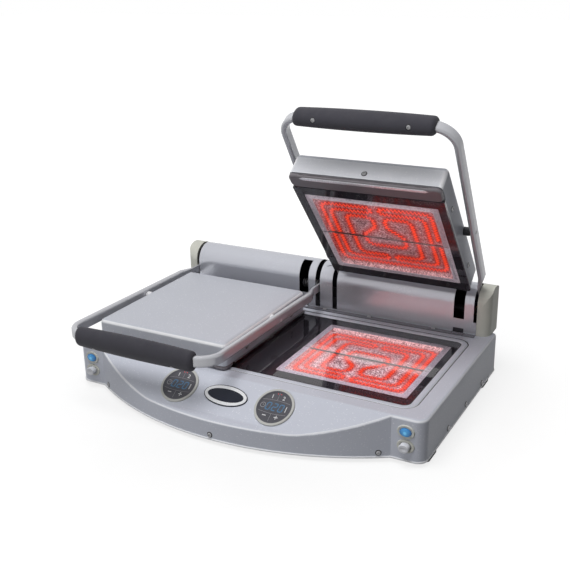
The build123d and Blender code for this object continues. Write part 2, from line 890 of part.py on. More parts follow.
def make_button(place, cap, stand, edge):
    """A round cap that slides in its bezel, with a stem to the switch behind it."""
    x, z = place
    tip = front_y - button_bezel_height - stand
    back = front_y + button_depth
    button = rod(cap / 2, (x, tip, z), (x, back, z))
    button = fillet(button.edges().filter_by(GeomType.CIRCLE).sort_by(Axis.Y)[0], edge)
    return single(button + rod(stem_diameter / 2, (x, back, z), (x, back + button_travel + stem_reach, z)))


def make_button_switches():
    """The switch bodies behind the four buttons, clipped to their bezels."""
    front = front_y + button_neck_length
    floor = front_y + button_depth + button_travel + slip
    stem_end = front_y + button_depth + 2 * button_travel + stem_reach + slip
    switches = []
    for _, (x, z), cap, *_ in button_places():
        body = rod(button_neck, (x, front, z), (x, front + switch_depth, z))
        body -= rod(cap / 2 + slip, (x, front - past, z), (x, floor, z))
        body -= rod(stem_diameter / 2 + running_fit, (x, front, z), (x, stem_end, z))
        switches.append(body)
    return group(*switches)


# Supply inside the casing
def make_power_board():
    """The supply board on its stand-offs, on the floor under the middle of the deck."""
    middle = heater_y + power_board_shift
    half_x = power_board_width / 2
    half_y = power_board_depth / 2
    low = pan_floor_z + standoff_height
    top = low + board_sheet
    board = box(-half_x, half_x, middle - half_y, middle + half_y, low, top)
    for x in (standoff_inset - half_x, half_x - standoff_inset):
        for y in (middle + standoff_inset - half_y, middle + half_y - standoff_inset):
            board += rod(standoff_diameter / 2, (x, y, pan_floor_z), (x, y, low))
    x = transformer_place[0]
    y = middle + transformer_place[1]
    half_x = transformer_width / 2
    half_y = transformer_depth / 2
    board += box(x - half_x, x + half_x, y - half_y, y + half_y, top, top + transformer_height)
    x = capacitor_place[0]
    y = middle + capacitor_place[1]
    board += rod(capacitor_diameter / 2, (x, y, top), (x, y, top + capacitor_height))
    return single(board)


def make_terminal_block():
    y = base_rear_y - terminal_place
    half_x = terminal_width / 2
    half_y = terminal_depth / 2
    top = pan_floor_z + terminal_height
    block = box(gland_x - half_x, gland_x + half_x, y - half_y, y + half_y, pan_floor_z, top)
    for step in range(terminal_count):
        x = gland_x + (step - (terminal_count - 1) / 2) * terminal_pitch
        block -= rod(terminal_hole_diameter / 2, (x, y, top - terminal_hole_depth), (x, y, top + past))
    return single(block)


def make_cable_gland():
    """The inlet gland in the rear wall, with its flange outside and its nut inside."""

    def turned(diameter, y0, y1):
        return rod(diameter / 2, (gland_x, y0, gland_z), (gland_x, y1, gland_z))

    wall = base_rear_y
    wide = gland_diameter + 2 * gland_flange
    gland = turned(gland_diameter, wall - gland_reach, wall + gland_reach)
    gland += turned(wide, wall, wall + gland_nut)
    gland += turned(wide, wall - sheet - gland_nut, wall - sheet)
    gland -= turned(gland_bore, wall - 2 * gland_reach, wall + 2 * gland_reach)
    return single(gland)


# Arms, built level and then swung up about the hinge
def swung(shape, rise):
    return shape.rotate(Axis((0, hinge_y, hinge_z), (-1, 0, 0)), rise)


def pivot_point(rise):
    """Where the lid hangs on the arms, at a given rise of the arms."""
    lean = radians(rise)
    lift = arm_offset - lid_pivot_drop
    y = hinge_y - lid_pivot_reach * cos(lean) + lift * sin(lean)
    z = hinge_z + lid_pivot_reach * sin(lean) + lift * cos(lean)
    return y, z


def arm_section(x, y, width, height, corner):
    plane = Plane(origin=(x, y, arm_z), x_dir=(1, 0, 0), z_dir=(0, -1, 0))
    return plane * RectangleRounded(width, height, corner)


def bent_bar(x, start_y, grow):
    """The bent bar of one station, from one arm round the grip to the other."""
    path = FilletPolyline(
        (x - arm_middle, start_y, arm_z),
        (x - arm_middle, grip_y, arm_z),
        (x + arm_middle, grip_y, arm_z),
        (x + arm_middle, start_y, arm_z),
        radius=arm_bend_radius,
    )
    width = arm_thickness + 2 * grow
    section = arm_section(x - arm_middle, start_y, width, arm_height + 2 * grow, arm_corner + grow)
    return sweep(section, path=path.wire())


GRIP_SCREW_WAY = (0, sin(radians(grip_screw_lean)), cos(radians(grip_screw_lean)))


def grip_screw_seats(x):
    """Where the screws sit in the grip, low down at the front."""
    reach = grip_length / 2 - grip_screw_inset
    _, back, up = GRIP_SCREW_WAY
    seat = (grip_y - grip_screw_seat * back, arm_z - grip_screw_seat * up)
    return [(x + side * reach, *seat) for side in SIDES]


def make_arm_frame(x):
    """A bent bar whose two ends are flattened, stepped inwards and drilled for the hinge shaft."""
    blade_end = hinge_y - blade_length
    taper_end = blade_end - blade_taper
    low = arm_z - blade_height / 2
    pivot = (hinge_y - lid_pivot_reach, arm_z - lid_pivot_drop)
    frame = bent_bar(x, taper_end, 0)
    for side in SIDES:
        middle = x + side * blade_x
        near = arm_section(x + side * arm_middle, taper_end, arm_thickness, arm_height, arm_corner)
        far = arm_section(middle, blade_end, blade_thickness, blade_height, blade_corner)
        x0 = middle - blade_thickness / 2
        x1 = middle + blade_thickness / 2
        blade = box(x0, x1, blade_end, hinge_y, low, low + blade_height)
        blade += cross_rod(shaft_diameter / 2 + blade_eye_wall, x0, x1, HINGE)
        blade -= cross_rod(shaft_diameter / 2 + running_fit, x0 - past, x1 + past, HINGE)
        frame += loft([near, far])
        frame += blade
        near_x = x + side * (arm_inner - past)
        far_x = x + side * (arm_outer + past)
        frame -= cross_rod(pivot_diameter / 2 + running_fit, near_x, far_x, pivot)
    for seat in grip_screw_seats(x):
        frame -= screw_hole(seat, GRIP_SCREW_WAY, thread_fit, grip_screw_length)
    return single(frame)


def make_grip(x):
    """A moulded grip over the cross bar, oval and a little fuller in the middle."""
    half = grip_length / 2

    def oval(place, depth, height):
        plane = Plane(origin=(place, grip_y, arm_z), x_dir=(0, 1, 0), z_dir=(1, 0, 0))
        return plane * Ellipse(depth / 2, height / 2)

    ends = [oval(x + side * half, grip_end_depth, grip_end_height) for side in SIDES]
    grip = loft([ends[0], oval(x, grip_depth, grip_height), ends[1]])
    rims = grip.edges().group_by(Axis.X)
    grip = fillet(rims[0] + rims[-1], grip_end_radius)
    grip -= bent_bar(x, grip_y + 2 * arm_bend_radius, slip)
    for seat in grip_screw_seats(x):
        seat = Vector(*seat)
        mouth = seat - Vector(*GRIP_SCREW_WAY) * grip_height / 2
        grip -= rod(screw_head_diameter / 2 + slip, mouth, seat)
        grip -= rod(screw_diameter / 2 + slip, seat, (seat.X, grip_y, arm_z))
    return single(grip)


def make_grip_screws(x):
    return group(*[screw(seat, GRIP_SCREW_WAY, grip_screw_length) for seat in grip_screw_seats(x)])


def make_hinge_shaft(x):
    half = blade_x + blade_thickness / 2 + shaft_end
    return cross_rod(shaft_diameter / 2, x - half, x + half, HINGE)


# Lids, built closed
PIVOT = pivot_point(closed_angle)


def lid_screw_seats(x):
    """Where a lid's cover is screwed to its frame: seat and way."""
    places = (lid_front_y + lid_screw_front_inset, lid_rear_y - lid_screw_rear_inset)
    seats = [((x + s * lid_width / 2, y, lid_screw_z), (-s, 0, 0)) for s in SIDES for y in places]
    return seats + [((x, lid_front_y, lid_screw_z), (0, 1, 0))]


def inside_lid(x, inset, corner, z0, z1):
    """A slab that follows the lid's outline, moved inwards by an inset."""
    return slab(lid_width - 2 * inset, lid_depth - 2 * inset, corner, (x, lid_y), z0, z1)


def domed_lid(x, inset, foot):
    """The lid's form with its upright and upper edges rounded, moved inwards by an inset."""
    radius = lid_edge_radius - inset
    form = inside_lid(x, inset, radius, foot, lid_top_z - inset)
    return fillet(form.edges().group_by(Axis.Z)[-1], radius - running_fit)


def make_lid_cover(x):
    cover = domed_lid(x, 0, lid_cover_z) - domed_lid(x, sheet, lid_cover_z - past)
    for seat, way in lid_screw_seats(x):
        cover -= screw_hole(seat, way, slip)
    for side in SIDES:
        wall = x + side * lid_width / 2
        inner = wall - side * (sheet + past)
        cover -= cross_rod(pivot_diameter / 2 + thread_fit, inner, wall + side * past, PIVOT)
    return single(cover)


def make_lid_frame(x):
    """The frame inside the cover: an upright ring, and a floor that holds the glass and the heater."""
    half = lid_width / 2
    inset = sheet + frame_gap
    inner = inset + frame_sheet
    floor_z = upper_glass_top_z
    ring_z = rail_top_z + frame_sheet
    frame = inside_lid(x, inset, lid_edge_radius - sheet, rail_top_z, frame_top_z)
    frame -= inside_lid(x, inner, frame_corner, ring_z, frame_top_z + past)
    frame += box(x - half, x + half, upper_glass_front_y, lid_rear_y, floor_z, floor_z + frame_sheet)
    rear = lid_rear_y - inset - lid_edge_radius
    frame += box(x - half + inset, x + half - inset, upper_glass_front_y, rear, floor_z, ring_z)
    wide = tray_half_width + slip
    deep = tray_half_depth + slip
    frame -= slab(2 * wide, 2 * deep, tray_corner, (x, heater_y), lid_bottom_z, frame_top_z)
    way = -1 if x > 0 else 1
    half_head = limiter_head_width / 2 + slip
    near = x + way * (wide - past)
    far = x + way * (wide + limiter_head_depth + slip)
    frame -= box(near, far, heater_y - half_head, heater_y + half_head, floor_z - past, frame_top_z + past)
    for seat, way in lid_screw_seats(x):
        frame -= screw_hole(seat, way, thread_fit)
    return single(frame)


def make_front_rail(x):
    """The rounded bar under the front of the lid, with a groove along its nose."""
    middle = (x, lid_front_y + rail_depth / 2)
    rail = slab(lid_width, rail_depth, rail_end_radius, middle, lid_bottom_z, rail_top_z)
    levels = rail.edges().group_by(Axis.Z)
    rail = fillet(levels[0] + levels[-1], rail_round)
    half = lid_width / 2 - 2 * rail_end_radius
    low = (lid_bottom_z + rail_top_z - rail_groove) / 2
    groove_y = lid_front_y + rail_groove_depth
    return single(rail - box(x - half, x + half, lid_front_y - past, groove_y, low, low + rail_groove))


def make_upper_glass(x):
    middle = (x, (upper_glass_front_y + lid_rear_y) / 2)
    depth = lid_rear_y - upper_glass_front_y
    return slab(lid_width, depth, upper_glass_corner, middle, lid_bottom_z, upper_glass_top_z)


def make_pivot_pins(x):
    """Collared pins on both sides of the lid that turn in the arms."""
    pins = []
    for side in SIDES:
        wall = x + side * lid_width / 2
        inner_wall = wall - side * sheet
        inner_end = inner_wall - side * pivot_bite
        arm = x + side * arm_inner
        pin = cross_rod(pivot_diameter / 2, inner_end, x + side * arm_outer, PIVOT)
        pin += cross_rod(pivot_collar_diameter / 2, wall, arm - side * slip, PIVOT)
        pin += cross_rod(pivot_nut_diameter / 2, inner_end, inner_wall - side * 2 * slip, PIVOT)
        pins.append(pin)
    return group(*pins)


def make_lid_screws(x):
    return group(*[screw(seat, way) for seat, way in lid_screw_seats(x)])


def hung(shape, rise):
    """Carry a closed lid up with the arms, then let it tip forwards on its pivots."""
    if rise == closed_angle:
        return shape
    y, z = pivot_point(rise)
    return swung(shape, rise - closed_angle).rotate(Axis((0, y, z), (-1, 0, 0)), -lid_tilt)


# The whole grill
def base_parts():
    parts = {
        "base_shell": make_base_shell(),
        "bottom_pan": make_bottom_pan(),
        "rubber_feet": make_rubber_feet(),
        "casing_screws": make_casing_screws(),
        "lower_glass": make_lower_glass(),
        "glass_seal": make_glass_seal(),
        "heater_brackets": make_heater_brackets(),
        "hinge_bed": make_hinge_bed(),
        "hinge_cover": make_hinge_cover(),
        "left_end_block": make_end_block(-1),
        "right_end_block": make_end_block(1),
        "bearing_brackets": make_bearing_brackets(),
        "bearing_bushes": make_bearing_bushes(),
        "housing_screws": make_housing_screws(),
        "balance_springs": make_balance_springs(),
        "control_bezels": make_control_bezels(),
        "control_panels": make_control_panels(),
        "control_boards": make_control_boards(),
        "badge_plate": make_badge_plate(),
        "power_board": make_power_board(),
        "terminal_block": make_terminal_block(),
        "button_bezels": make_button_bezels(),
        "button_switches": make_button_switches(),
        "cable_gland": make_cable_gland(),
    }
    heaters = [heater_pieces(x, glass_bottom_z, 1, -side) for x, side in zip(STATIONS.values(), SIDES)]
    names = {"tray": "trays", "insulation": "insulation", "element": "elements", "limiter": "limiters"}
    for piece, plural in names.items():
        parts["lower_heater_" + plural] = group(*[heater[piece] for heater in heaters])
    for name, place, cap, stand, edge in button_places():
        parts[name] = make_button(place, cap, stand, edge)
    return parts


def station_parts(name, side, rise):
    x = STATIONS[name]
    arms = {
        "arm_frame": make_arm_frame(x),
        "grip": make_grip(x),
        "grip_screws": make_grip_screws(x),
        "hinge_shaft": make_hinge_shaft(x),
    }
    lid = {
        "lid_cover": make_lid_cover(x),
        "lid_frame": make_lid_frame(x),
        "front_rail": make_front_rail(x),
        "upper_glass": make_upper_glass(x),
        "pivot_pins": make_pivot_pins(x),
        "lid_screws": make_lid_screws(x),
    }
    for piece, shape in heater_pieces(x, upper_glass_top_z, -1, -side).items():
        lid["upper_heater_" + piece] = shape
    parts = {f"{name}_{piece}": swung(shape, rise) for piece, shape in arms.items()}
    parts.update({f"{name}_{piece}": hung(shape, rise) for piece, shape in lid.items()})
    return parts


def main():
    os.makedirs("parts", exist_ok=True)
    parts = base_parts()
    parts.update(station_parts("left", -1, closed_angle))
    parts.update(station_parts("right", 1, open_angle))
    for node, shape in parts.items():
        export_step(shape, f"parts/{node}.step")
    print(len(parts), "nodes")


main()
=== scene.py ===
import json
import math

import bmesh
import bpy
import numpy as np
from mathutils import Matrix, Vector

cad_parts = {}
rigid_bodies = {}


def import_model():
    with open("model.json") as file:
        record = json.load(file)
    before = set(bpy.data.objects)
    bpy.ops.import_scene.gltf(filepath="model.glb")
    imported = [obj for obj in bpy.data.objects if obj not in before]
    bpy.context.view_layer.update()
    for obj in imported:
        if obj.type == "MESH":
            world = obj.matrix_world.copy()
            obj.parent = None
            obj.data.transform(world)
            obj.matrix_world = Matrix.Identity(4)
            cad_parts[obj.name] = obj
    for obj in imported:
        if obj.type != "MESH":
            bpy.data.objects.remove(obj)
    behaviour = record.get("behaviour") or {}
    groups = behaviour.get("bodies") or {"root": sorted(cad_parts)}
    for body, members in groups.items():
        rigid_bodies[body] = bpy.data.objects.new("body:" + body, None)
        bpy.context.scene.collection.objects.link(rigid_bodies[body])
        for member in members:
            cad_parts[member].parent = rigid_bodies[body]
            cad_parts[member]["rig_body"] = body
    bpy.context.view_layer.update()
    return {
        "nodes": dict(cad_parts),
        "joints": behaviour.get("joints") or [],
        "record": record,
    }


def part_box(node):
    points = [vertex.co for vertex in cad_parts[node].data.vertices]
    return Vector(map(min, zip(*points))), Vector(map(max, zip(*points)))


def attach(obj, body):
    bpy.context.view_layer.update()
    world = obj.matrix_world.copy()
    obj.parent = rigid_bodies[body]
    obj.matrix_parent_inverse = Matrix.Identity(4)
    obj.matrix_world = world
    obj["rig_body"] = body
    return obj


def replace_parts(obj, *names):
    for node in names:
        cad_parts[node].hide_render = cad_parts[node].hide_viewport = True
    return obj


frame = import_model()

# Double contact grill with glass hotplates: finishes, glowing ribbons, controls and fittings.
# Metres, X to the right, Y to the back and Z up, in the frame of the solid model.
mm = 0.001
quarter = math.pi / 2
scene = bpy.context.scene
NODES = frame["nodes"]
JOINTS = {joint["name"]: joint for joint in frame["joints"]}
SLOT_OF = {part["node"]: part["material_slot"] for part in frame["record"]["subparts"]}
FORWARD = Vector((0, -1, 0))


def rows_of(*rows):
    """Rows of millimetres as rows of metres."""
    return [[value * mm for value in row] for row in rows]


# Sizes: glowing ribbon and its bed
ribbon_width = 7.0 * mm
ribbon_height = 1.6 * mm
ribbon_strip = 1.0 * mm
ribbon_turn = 12.0 * mm
ribbon_wave = 6.4 * mm
wave_steps = 14
turn_steps = 12
turn_share = 0.48
ring_clear = 8.0 * mm
ring_end_clear = 14.5 * mm
ring_step = 13.0 * mm
loop_step = 24.0 * mm
loop_front = 25.0 * mm
loop_rear = 24.5 * mm
bulb_half = 34.0 * mm
bulb_front = -3.0 * mm
bulb_rear = 25.0 * mm
neck_half = 10.0 * mm
turn_half = 7.0 * mm
terminal_half = 9.0 * mm
heater_rim = 10.0 * mm
well_depth = 5.2 * mm
bed_grain = 1.7 * mm
bed_lift = 0.6 * mm
least_lift = 0.25
grain_seed = 7
cove_side = 4.0 * mm
cove_end = 10.0 * mm
cove_clear = 0.2 * mm
glow_core = 3.0 * mm
glow_reach = 7.0 * mm

# Sizes: printed border of the glass
print_thickness = 0.1 * mm
print_cover = 0.15 * mm
glass_corner = 10.0 * mm
upper_glass_corner = 2.0 * mm
window_corner = 0.5 * mm

# Sizes: control discs and badge
control_spacing = 84.65 * mm
apron_angle = 32.5
panel_radius = 25.95 * mm
panel_half = 1.5 * mm
panel_recess = 0.6 * mm
film_radius = 27.7 * mm
film_hole = 0.97 * panel_radius
ink_height = 0.12 * mm
ink_sink = 0.02 * mm
ink_line = 0.45 * mm
band_end = 0.8 * mm
band_steps = 16
disc_steps = 64
legend_line = 1.3 * mm
level_line = 1.1 * mm
digit_point = 0.5 * mm
lamp_radius = 0.75 * mm
badge_rise = 2.0 * mm
badge_edge_rows = rows_of((0, 0), (0, 1.2), (0.3, 1.5), (1.4, 1.6))
badge_rim_rows = rows_of((1.4, 0.4), (1.4, 1.8), (1.8, 2.0), (6.4, 1.8))
badge_field_rows = rows_of((6.4, 0.4), (6.4, 1.7), (6.9, 1.9), (14.4, 2.1))

# Sizes: bead round the glass, rail strip and hem
bead_rows = rows_of(
    (11.6, -1.2), (11.0, -0.5), (10.0, 0.1), (8.6, 0.3), (6.4, 0.3), (4.6, 0.1), (3.4, -0.5), (2.6, -1.2)
)
bead_seal_rows = rows_of((13.6, -1.2), (13.2, -0.6), (12.2, -0.6), (11.8, -1.2))
bead_corner_steps = 10
bar_steps = 16
rail_strip_back = 5.6 * mm
rail_strip_depth = 3.4 * mm
rail_strip_height = 0.6 * mm
rail_strip_lift = 0.1 * mm
rail_strip_inset = 19.0 * mm
rail_strip_taper = 7.0 * mm
rail_strip_tip = 0.1
hem_depth = 1.6 * mm
hem_height = 1.5 * mm
hem_lift = 1.6 * mm
hem_inset = 1.0 * mm
hem_taper = 2.0 * mm
hem_tip = 0.5

# Sizes: screws and buttons
screw_head_radius = 3.5 * mm
screw_head_height = 2.2 * mm
screw_head_rows = ((1.0, 0.0), (1.0, 0.35), (0.94, 0.66), (0.80, 0.88), (0.62, 1.0))
screw_shank_radius = 1.75 * mm
screw_shank_length = 6.0 * mm
screw_steps = 24
socket_radius = 1.7 * mm
socket_depth = 1.3 * mm
shade_washer_rows = rows_of((4.7, 4.7, -0.1), (4.7, 4.7, 0.25), (3.3, 3.3, 0.3))
same_point = 0.01 * mm
crown_depth = 0.2 * mm
head_share = 0.75
lens_rows = rows_of(
    (2.4, 2.4, -15.0), (2.4, 2.4, -6.0), (8.7, 6.4, -6.0), (8.7, 6.4, 0.0),
    (8.2, 5.9, 0.8), (6.7, 4.9, 1.5), (4.4, 3.2, 2.0), (1.6, 1.2, 2.2),
)
cap_rows = rows_of(
    (2.4, 2.4, -22.0), (2.4, 2.4, -12.0), (7.8, 6.5, -12.0), (7.8, 6.5, 0.0),
    (7.2, 6.0, 0.7), (3.6, 3.0, 0.9), (3.0, 2.5, 0.5), (1.1, 0.9, 0.3),
)
bezel_rows = rows_of(
    (13.2, 10.6, -3.0), (13.2, 10.6, 1.0), (12.6, 10.0, 1.9),
    (9.7, 7.4, 2.0), (8.9, 6.6, 1.4), (8.9, 6.6, -3.0),
)

# Sizes: casing outline, its folded foot and the feet
corner_radius = 16.0 * mm
rear_corner_radius = 6.0 * mm
corner_face = 50.5 * mm
corner_steps = 8
bow_depth = 74.0 * mm
bow_steps = 48
fold_rows = rows_of((-0.8, 0.0), (0.9, 0.2), (1.1, 1.8), (0.8, 2.9), (-0.8, 3.4))
foot_rows = rows_of((0.9, 0.0), (0.0, 0.9), (0.0, 5.9))
foot_corner = 5.0 * mm

# Sizes: zones of the housing's painted shade and of the lit lens
inside_start = 0.5 * mm
inside_full = 0.8 * mm
flange_start = 0.3 * mm
flange_full = 0.8 * mm
lens_pale_radius = 2.0 * mm
lens_deep_radius = 8.5 * mm
lens_dot_radius = 3.4 * mm
lens_core_radius = 1.2 * mm
lens_ray = 0.4 * mm

# Edges that stay crisp on smooth meshes, in degrees
screw_edge = 30.0
ribbon_edge = 35.0
oval_edge = 40.0
foot_edge = 40.0
bar_edge = 50.0
ring_edge = 60.0

# Sizes: floor, lamps and camera
floor_half = 9.0
shadow_near = 0.25
shadow_far = 0.9
shadow_white = 0.76
fill_strength = 0.05
lamp_size = 1.4
lamp_target = (0, 0, 0.1)
key_place = (-0.15, -0.6, 2.4)
key_power = 50
front_place = (-0.6, -2.5, 0.7)
front_power = 16
photo_pixels = 570
focal_pixels = 888.5
sensor_width = 36.0
clip_start = 0.05
view_place = (0.66727, -1.19404, 0.67845)
view_azimuth = 28.927
view_elevation = 20.137
view_roll = -1.144

# Colours and grain that several finishes share
# Bare metal of rubbed edges, and also a painted edge highlight
RUBBED_EDGE_AND_HIGHLIGHT = (0.82, 0.82, 0.83)
# GLINT: the painted highlight on bends, and the colour of paint flakes
GLINT = (0.95, 0.95, 0.97)
METAL_DUST = (0.5, 0.47, 0.44)
PLASTIC_DUST = (0.45, 0.43, 0.41)
SCUFFED = (0.4, 0.4, 0.4)
WHITE = (1, 1, 1)
EVEN = (900, 900, 900)
ALONG_X = (30, 1100, 1100)


# Node trees
class ShaderTree:
    """A node tree, with short ways to add nodes that hold their values and links."""

    def __init__(self, tree):
        self.tree = tree

    def fill(self, inputs, sockets):
        """Links or sets sockets; a colour is written as three numbers."""
        for name, value in sockets.items():
            socket = inputs[name]
            if isinstance(value, bpy.types.NodeSocket):
                self.tree.links.new(value, socket)
            elif socket.type == "RGBA":
                socket.default_value = (*value, 1)
            else:
                socket.default_value = value

    def lead(self, node, **sockets):
        """Links or sets a node's sockets, named with underscores for spaces."""
        self.fill(node.inputs, {label.replace("_", " "): value for label, value in sockets.items()})

    def put(self, kind, sockets=None, **settings):
        node = self.tree.nodes.new("ShaderNode" + kind)
        for name, value in settings.items():
            setattr(node, name, value)
        self.fill(node.inputs, sockets or {})
        return node

    def group(self, effect, **sockets):
        """Adds a shared effect and gives what comes out of it."""
        node = self.put("Group", node_tree=EFFECTS[effect])
        self.lead(node, **sockets)
        return node.outputs

    def math(self, operation, *values):
        return self.put("Math", dict(enumerate(values)), operation=operation).outputs[0]

    def times(self, first, second):
        return self.math("MULTIPLY", first, second)

    def vector(self, operation, *values):
        return self.put("VectorMath", dict(enumerate(values)), operation=operation).outputs

    def tinted(self, colour, tone):
        return self.put("VectorMath", {0: colour, "Scale": tone}, operation="SCALE").outputs[0]

    def spread(self, value, low, high, to_low=0.0, to_high=1.0):
        """Maps a value from one range to another, and stops at its ends."""
        sockets = {0: value, 1: low, 2: high, 3: to_low, 4: to_high}
        return self.put("MapRange", sockets).outputs[0]

    def swing(self, value):
        """Spreads the middle of a noise from -1 to 1."""
        return self.spread(value, 0.3, 0.7, -1.0, 1.0)

    def mix(self, factor, first, second):
        return self.put("Mix", {0: factor, 6: first, 7: second}, data_type="RGBA").outputs[2]

    def layered(self, shade, colour, effect, **sockets):
        """Lays a colour over a shade by the mask of a shared effect, where its amount isn't 0."""
        if not sockets["Amount"]:
            return shade
        return self.mix(self.group(effect, **sockets)["Mask"], shade, colour)

    def place(self):
        return self.put("TexCoord").outputs["Object"]

    def axes(self, vector):
        return self.put("SeparateXYZ", {0: vector}).outputs

    def noise(self, scale, detail=2.0, roughness=0.5, vector=None):
        """A noise over a piece's own place, or over another vector."""
        vector = self.place() if vector is None else vector
        sockets = {"Vector": vector, "Scale": scale, "Detail": detail, "Roughness": roughness}
        return self.put("TexNoise", sockets).outputs[0]

    def cells(self, scale, **settings):
        return self.put("TexVoronoi", {"Vector": self.place(), "Scale": scale}, **settings).outputs

    def bump(self, height, strength, distance):
        sockets = {"Height": height, "Strength": strength, "Distance": distance}
        return self.put("Bump", sockets).outputs[0]

    def white_rays(self):
        """1 where the eye, gloss or glass looks, and 0 for the light of other rays."""
        path = self.put("LightPath").outputs
        seen = self.math("MAXIMUM", path["Is Camera Ray"], path["Is Glossy Ray"])
        return self.math("MAXIMUM", seen, path["Is Transmission Ray"])

    def surface(self, output, shader):
        self.tree.links.new(shader.outputs[0], self.tree.nodes[output].inputs["Surface"])


EFFECTS = {}
SOCKET_KINDS = {"Stretch": "Vector", **dict.fromkeys(("Colour", "Pale", "Dark", "Board", "Glow"), "Color")}


def make_group(name, inputs, outputs):
    """Starts a shared effect with named sockets: its nodes, what comes in and what goes out."""
    tree = bpy.data.node_groups.new(name, "ShaderNodeTree")
    for way, labels in (("INPUT", inputs), ("OUTPUT", outputs)):
        for label in labels:
            kind = "NodeSocket" + SOCKET_KINDS.get(label, "Float")
            tree.interface.new_socket(label, in_out=way, socket_type=kind)
    EFFECTS[name] = tree
    taken = tree.nodes.new("NodeGroupInput").outputs
    return ShaderTree(tree), taken, tree.nodes.new("NodeGroupOutput")


# Effects that several finishes share
def satin_grain():
    """Fine grain with a direction, over soft clouds: tints a colour and varies its gloss."""
    inputs = ("Colour", "Stretch", "Depth", "Gloss", "Gloss Spread")
    nodes, taken, given = make_group("satin grain", inputs, ("Colour", "Roughness", "Height"))
    stretched = nodes.vector("MULTIPLY", nodes.place(), taken["Stretch"])[0]
    grain = nodes.noise(1.0, 4.0, 0.6, stretched)
    clouds = nodes.noise(14.0, 3.0)
    swing = nodes.swing(nodes.math("ADD", nodes.times(grain, 0.65), nodes.times(clouds, 0.35)))
    tone = nodes.math("MULTIPLY_ADD", swing, taken["Depth"], 1.0)
    rough = nodes.math("MULTIPLY_ADD", swing, taken["Gloss Spread"], taken["Gloss"])
    nodes.lead(given, Colour=nodes.tinted(taken["Colour"], tone), Roughness=rough, Height=grain)


def edge_wear_and_light():
    """A broken mask along the edges of a piece, where hands and cloths rub it; it also carries painted
    light: a lighter edge highlight on metal, and darker edges as painted shade on the grip.
    """
    nodes, taken, given = make_group("edge wear and painted light", ("Width", "Amount"), ("Mask",))
    soft = nodes.put("Bevel", {"Radius": taken["Width"]}, samples=4).outputs[0]
    sharp = nodes.put("NewGeometry").outputs["Normal"]
    edge = nodes.spread(nodes.vector("DOT_PRODUCT", soft, sharp)["Value"], 0.995, 0.85)
    patches = nodes.spread(nodes.noise(90.0, 4.0, 0.65), 0.35, 0.65)
    nodes.lead(given, Mask=nodes.times(nodes.times(edge, patches), taken["Amount"]))


def painted_bend_highlight():
    """A painted highlight: a mask along the rounded upper bends of a sheet, where light catches them."""
    nodes, taken, given = make_group("painted bend highlight", ("Amount",), ("Mask",))
    way = nodes.axes(nodes.put("TexCoord").outputs["Normal"])
    rise = nodes.times(nodes.spread(way["Z"], 0.15, 0.4), nodes.spread(way["Z"], 0.83, 0.7))
    aside = nodes.math("MAXIMUM", nodes.times(way["Y"], -1.0), nodes.math("ABSOLUTE", way["X"]))
    bend = nodes.times(rise, nodes.spread(aside, 0.2, 0.4))
    patches = nodes.spread(nodes.noise(40.0, 3.0), 0.2, 0.8, 0.7, 1.0)
    nodes.lead(given, Mask=nodes.times(nodes.times(bend, patches), taken["Amount"]))


def settled_dust():
    """A thin mask of dust and crumbs on what faces up."""
    nodes, taken, given = make_group("settled dust", ("Amount", "Patch Scale"), ("Mask",))
    lying = nodes.spread(nodes.axes(nodes.put("TexCoord").outputs["Normal"])["Z"], 0.2, 1.0)
    patches = nodes.noise(taken["Patch Scale"], 5.0, 0.7)
    broken = nodes.times(lying, nodes.spread(patches, 0.4, 0.75))
    nodes.lead(given, Mask=nodes.times(broken, taken["Amount"]))


def moulded_grain():
    """The fine pebbled skin of moulded plastic and rubber."""
    inputs = ("Colour", "Pebble Scale", "Depth")
    nodes, taken, given = make_group("moulded grain", inputs, ("Colour", "Height"))
    pebbles = nodes.cells(taken["Pebble Scale"])["Distance"]
    swing = nodes.swing(nodes.noise(35.0, 4.0, 0.6))
    tone = nodes.math("MULTIPLY_ADD", swing, taken["Depth"], 1.0)
    nodes.lead(given, Colour=nodes.tinted(taken["Colour"], tone), Height=pebbles)


def flake_sparkle():
    """Scattered bright flakes of metallic paint, as a mask."""
    nodes, taken, given = make_group("flake sparkle", ("Flake Scale", "Share"), ("Mask",))
    chance = nodes.axes(nodes.cells(taken["Flake Scale"])["Color"])["X"]
    few = nodes.math("SUBTRACT", 1.0, taken["Share"])
    nodes.lead(given, Mask=nodes.math("GREATER_THAN", chance, few))


def mineral_speckle():
    """Pressed mineral fibre: a pale colour with soft clouds, dark grains and bright grains."""
    outputs = ("Colour", "Roughness", "Height", "Grain")
    nodes, taken, given = make_group("mineral speckle", ("Pale", "Dark", "Share"), outputs)
    fibres = nodes.noise(260.0, 5.0, 0.7)
    grains = nodes.noise(430.0, 2.0, 0.6)
    clouded = nodes.tinted(taken["Pale"], nodes.spread(fibres, 0.3, 0.7, 1.0, 0.75))
    dark = nodes.spread(grains, taken["Share"], nodes.math("SUBTRACT", taken["Share"], 0.09))
    shade = nodes.mix(dark, clouded, taken["Dark"])
    shade = nodes.mix(nodes.spread(grains, 0.56, 0.66), shade, (0.88, 0.82, 0.83))
    rough = nodes.spread(fibres, 0.2, 0.8, 0.75, 0.95)
    nodes.lead(given, Colour=shade, Roughness=rough, Height=grains, Grain=dark)


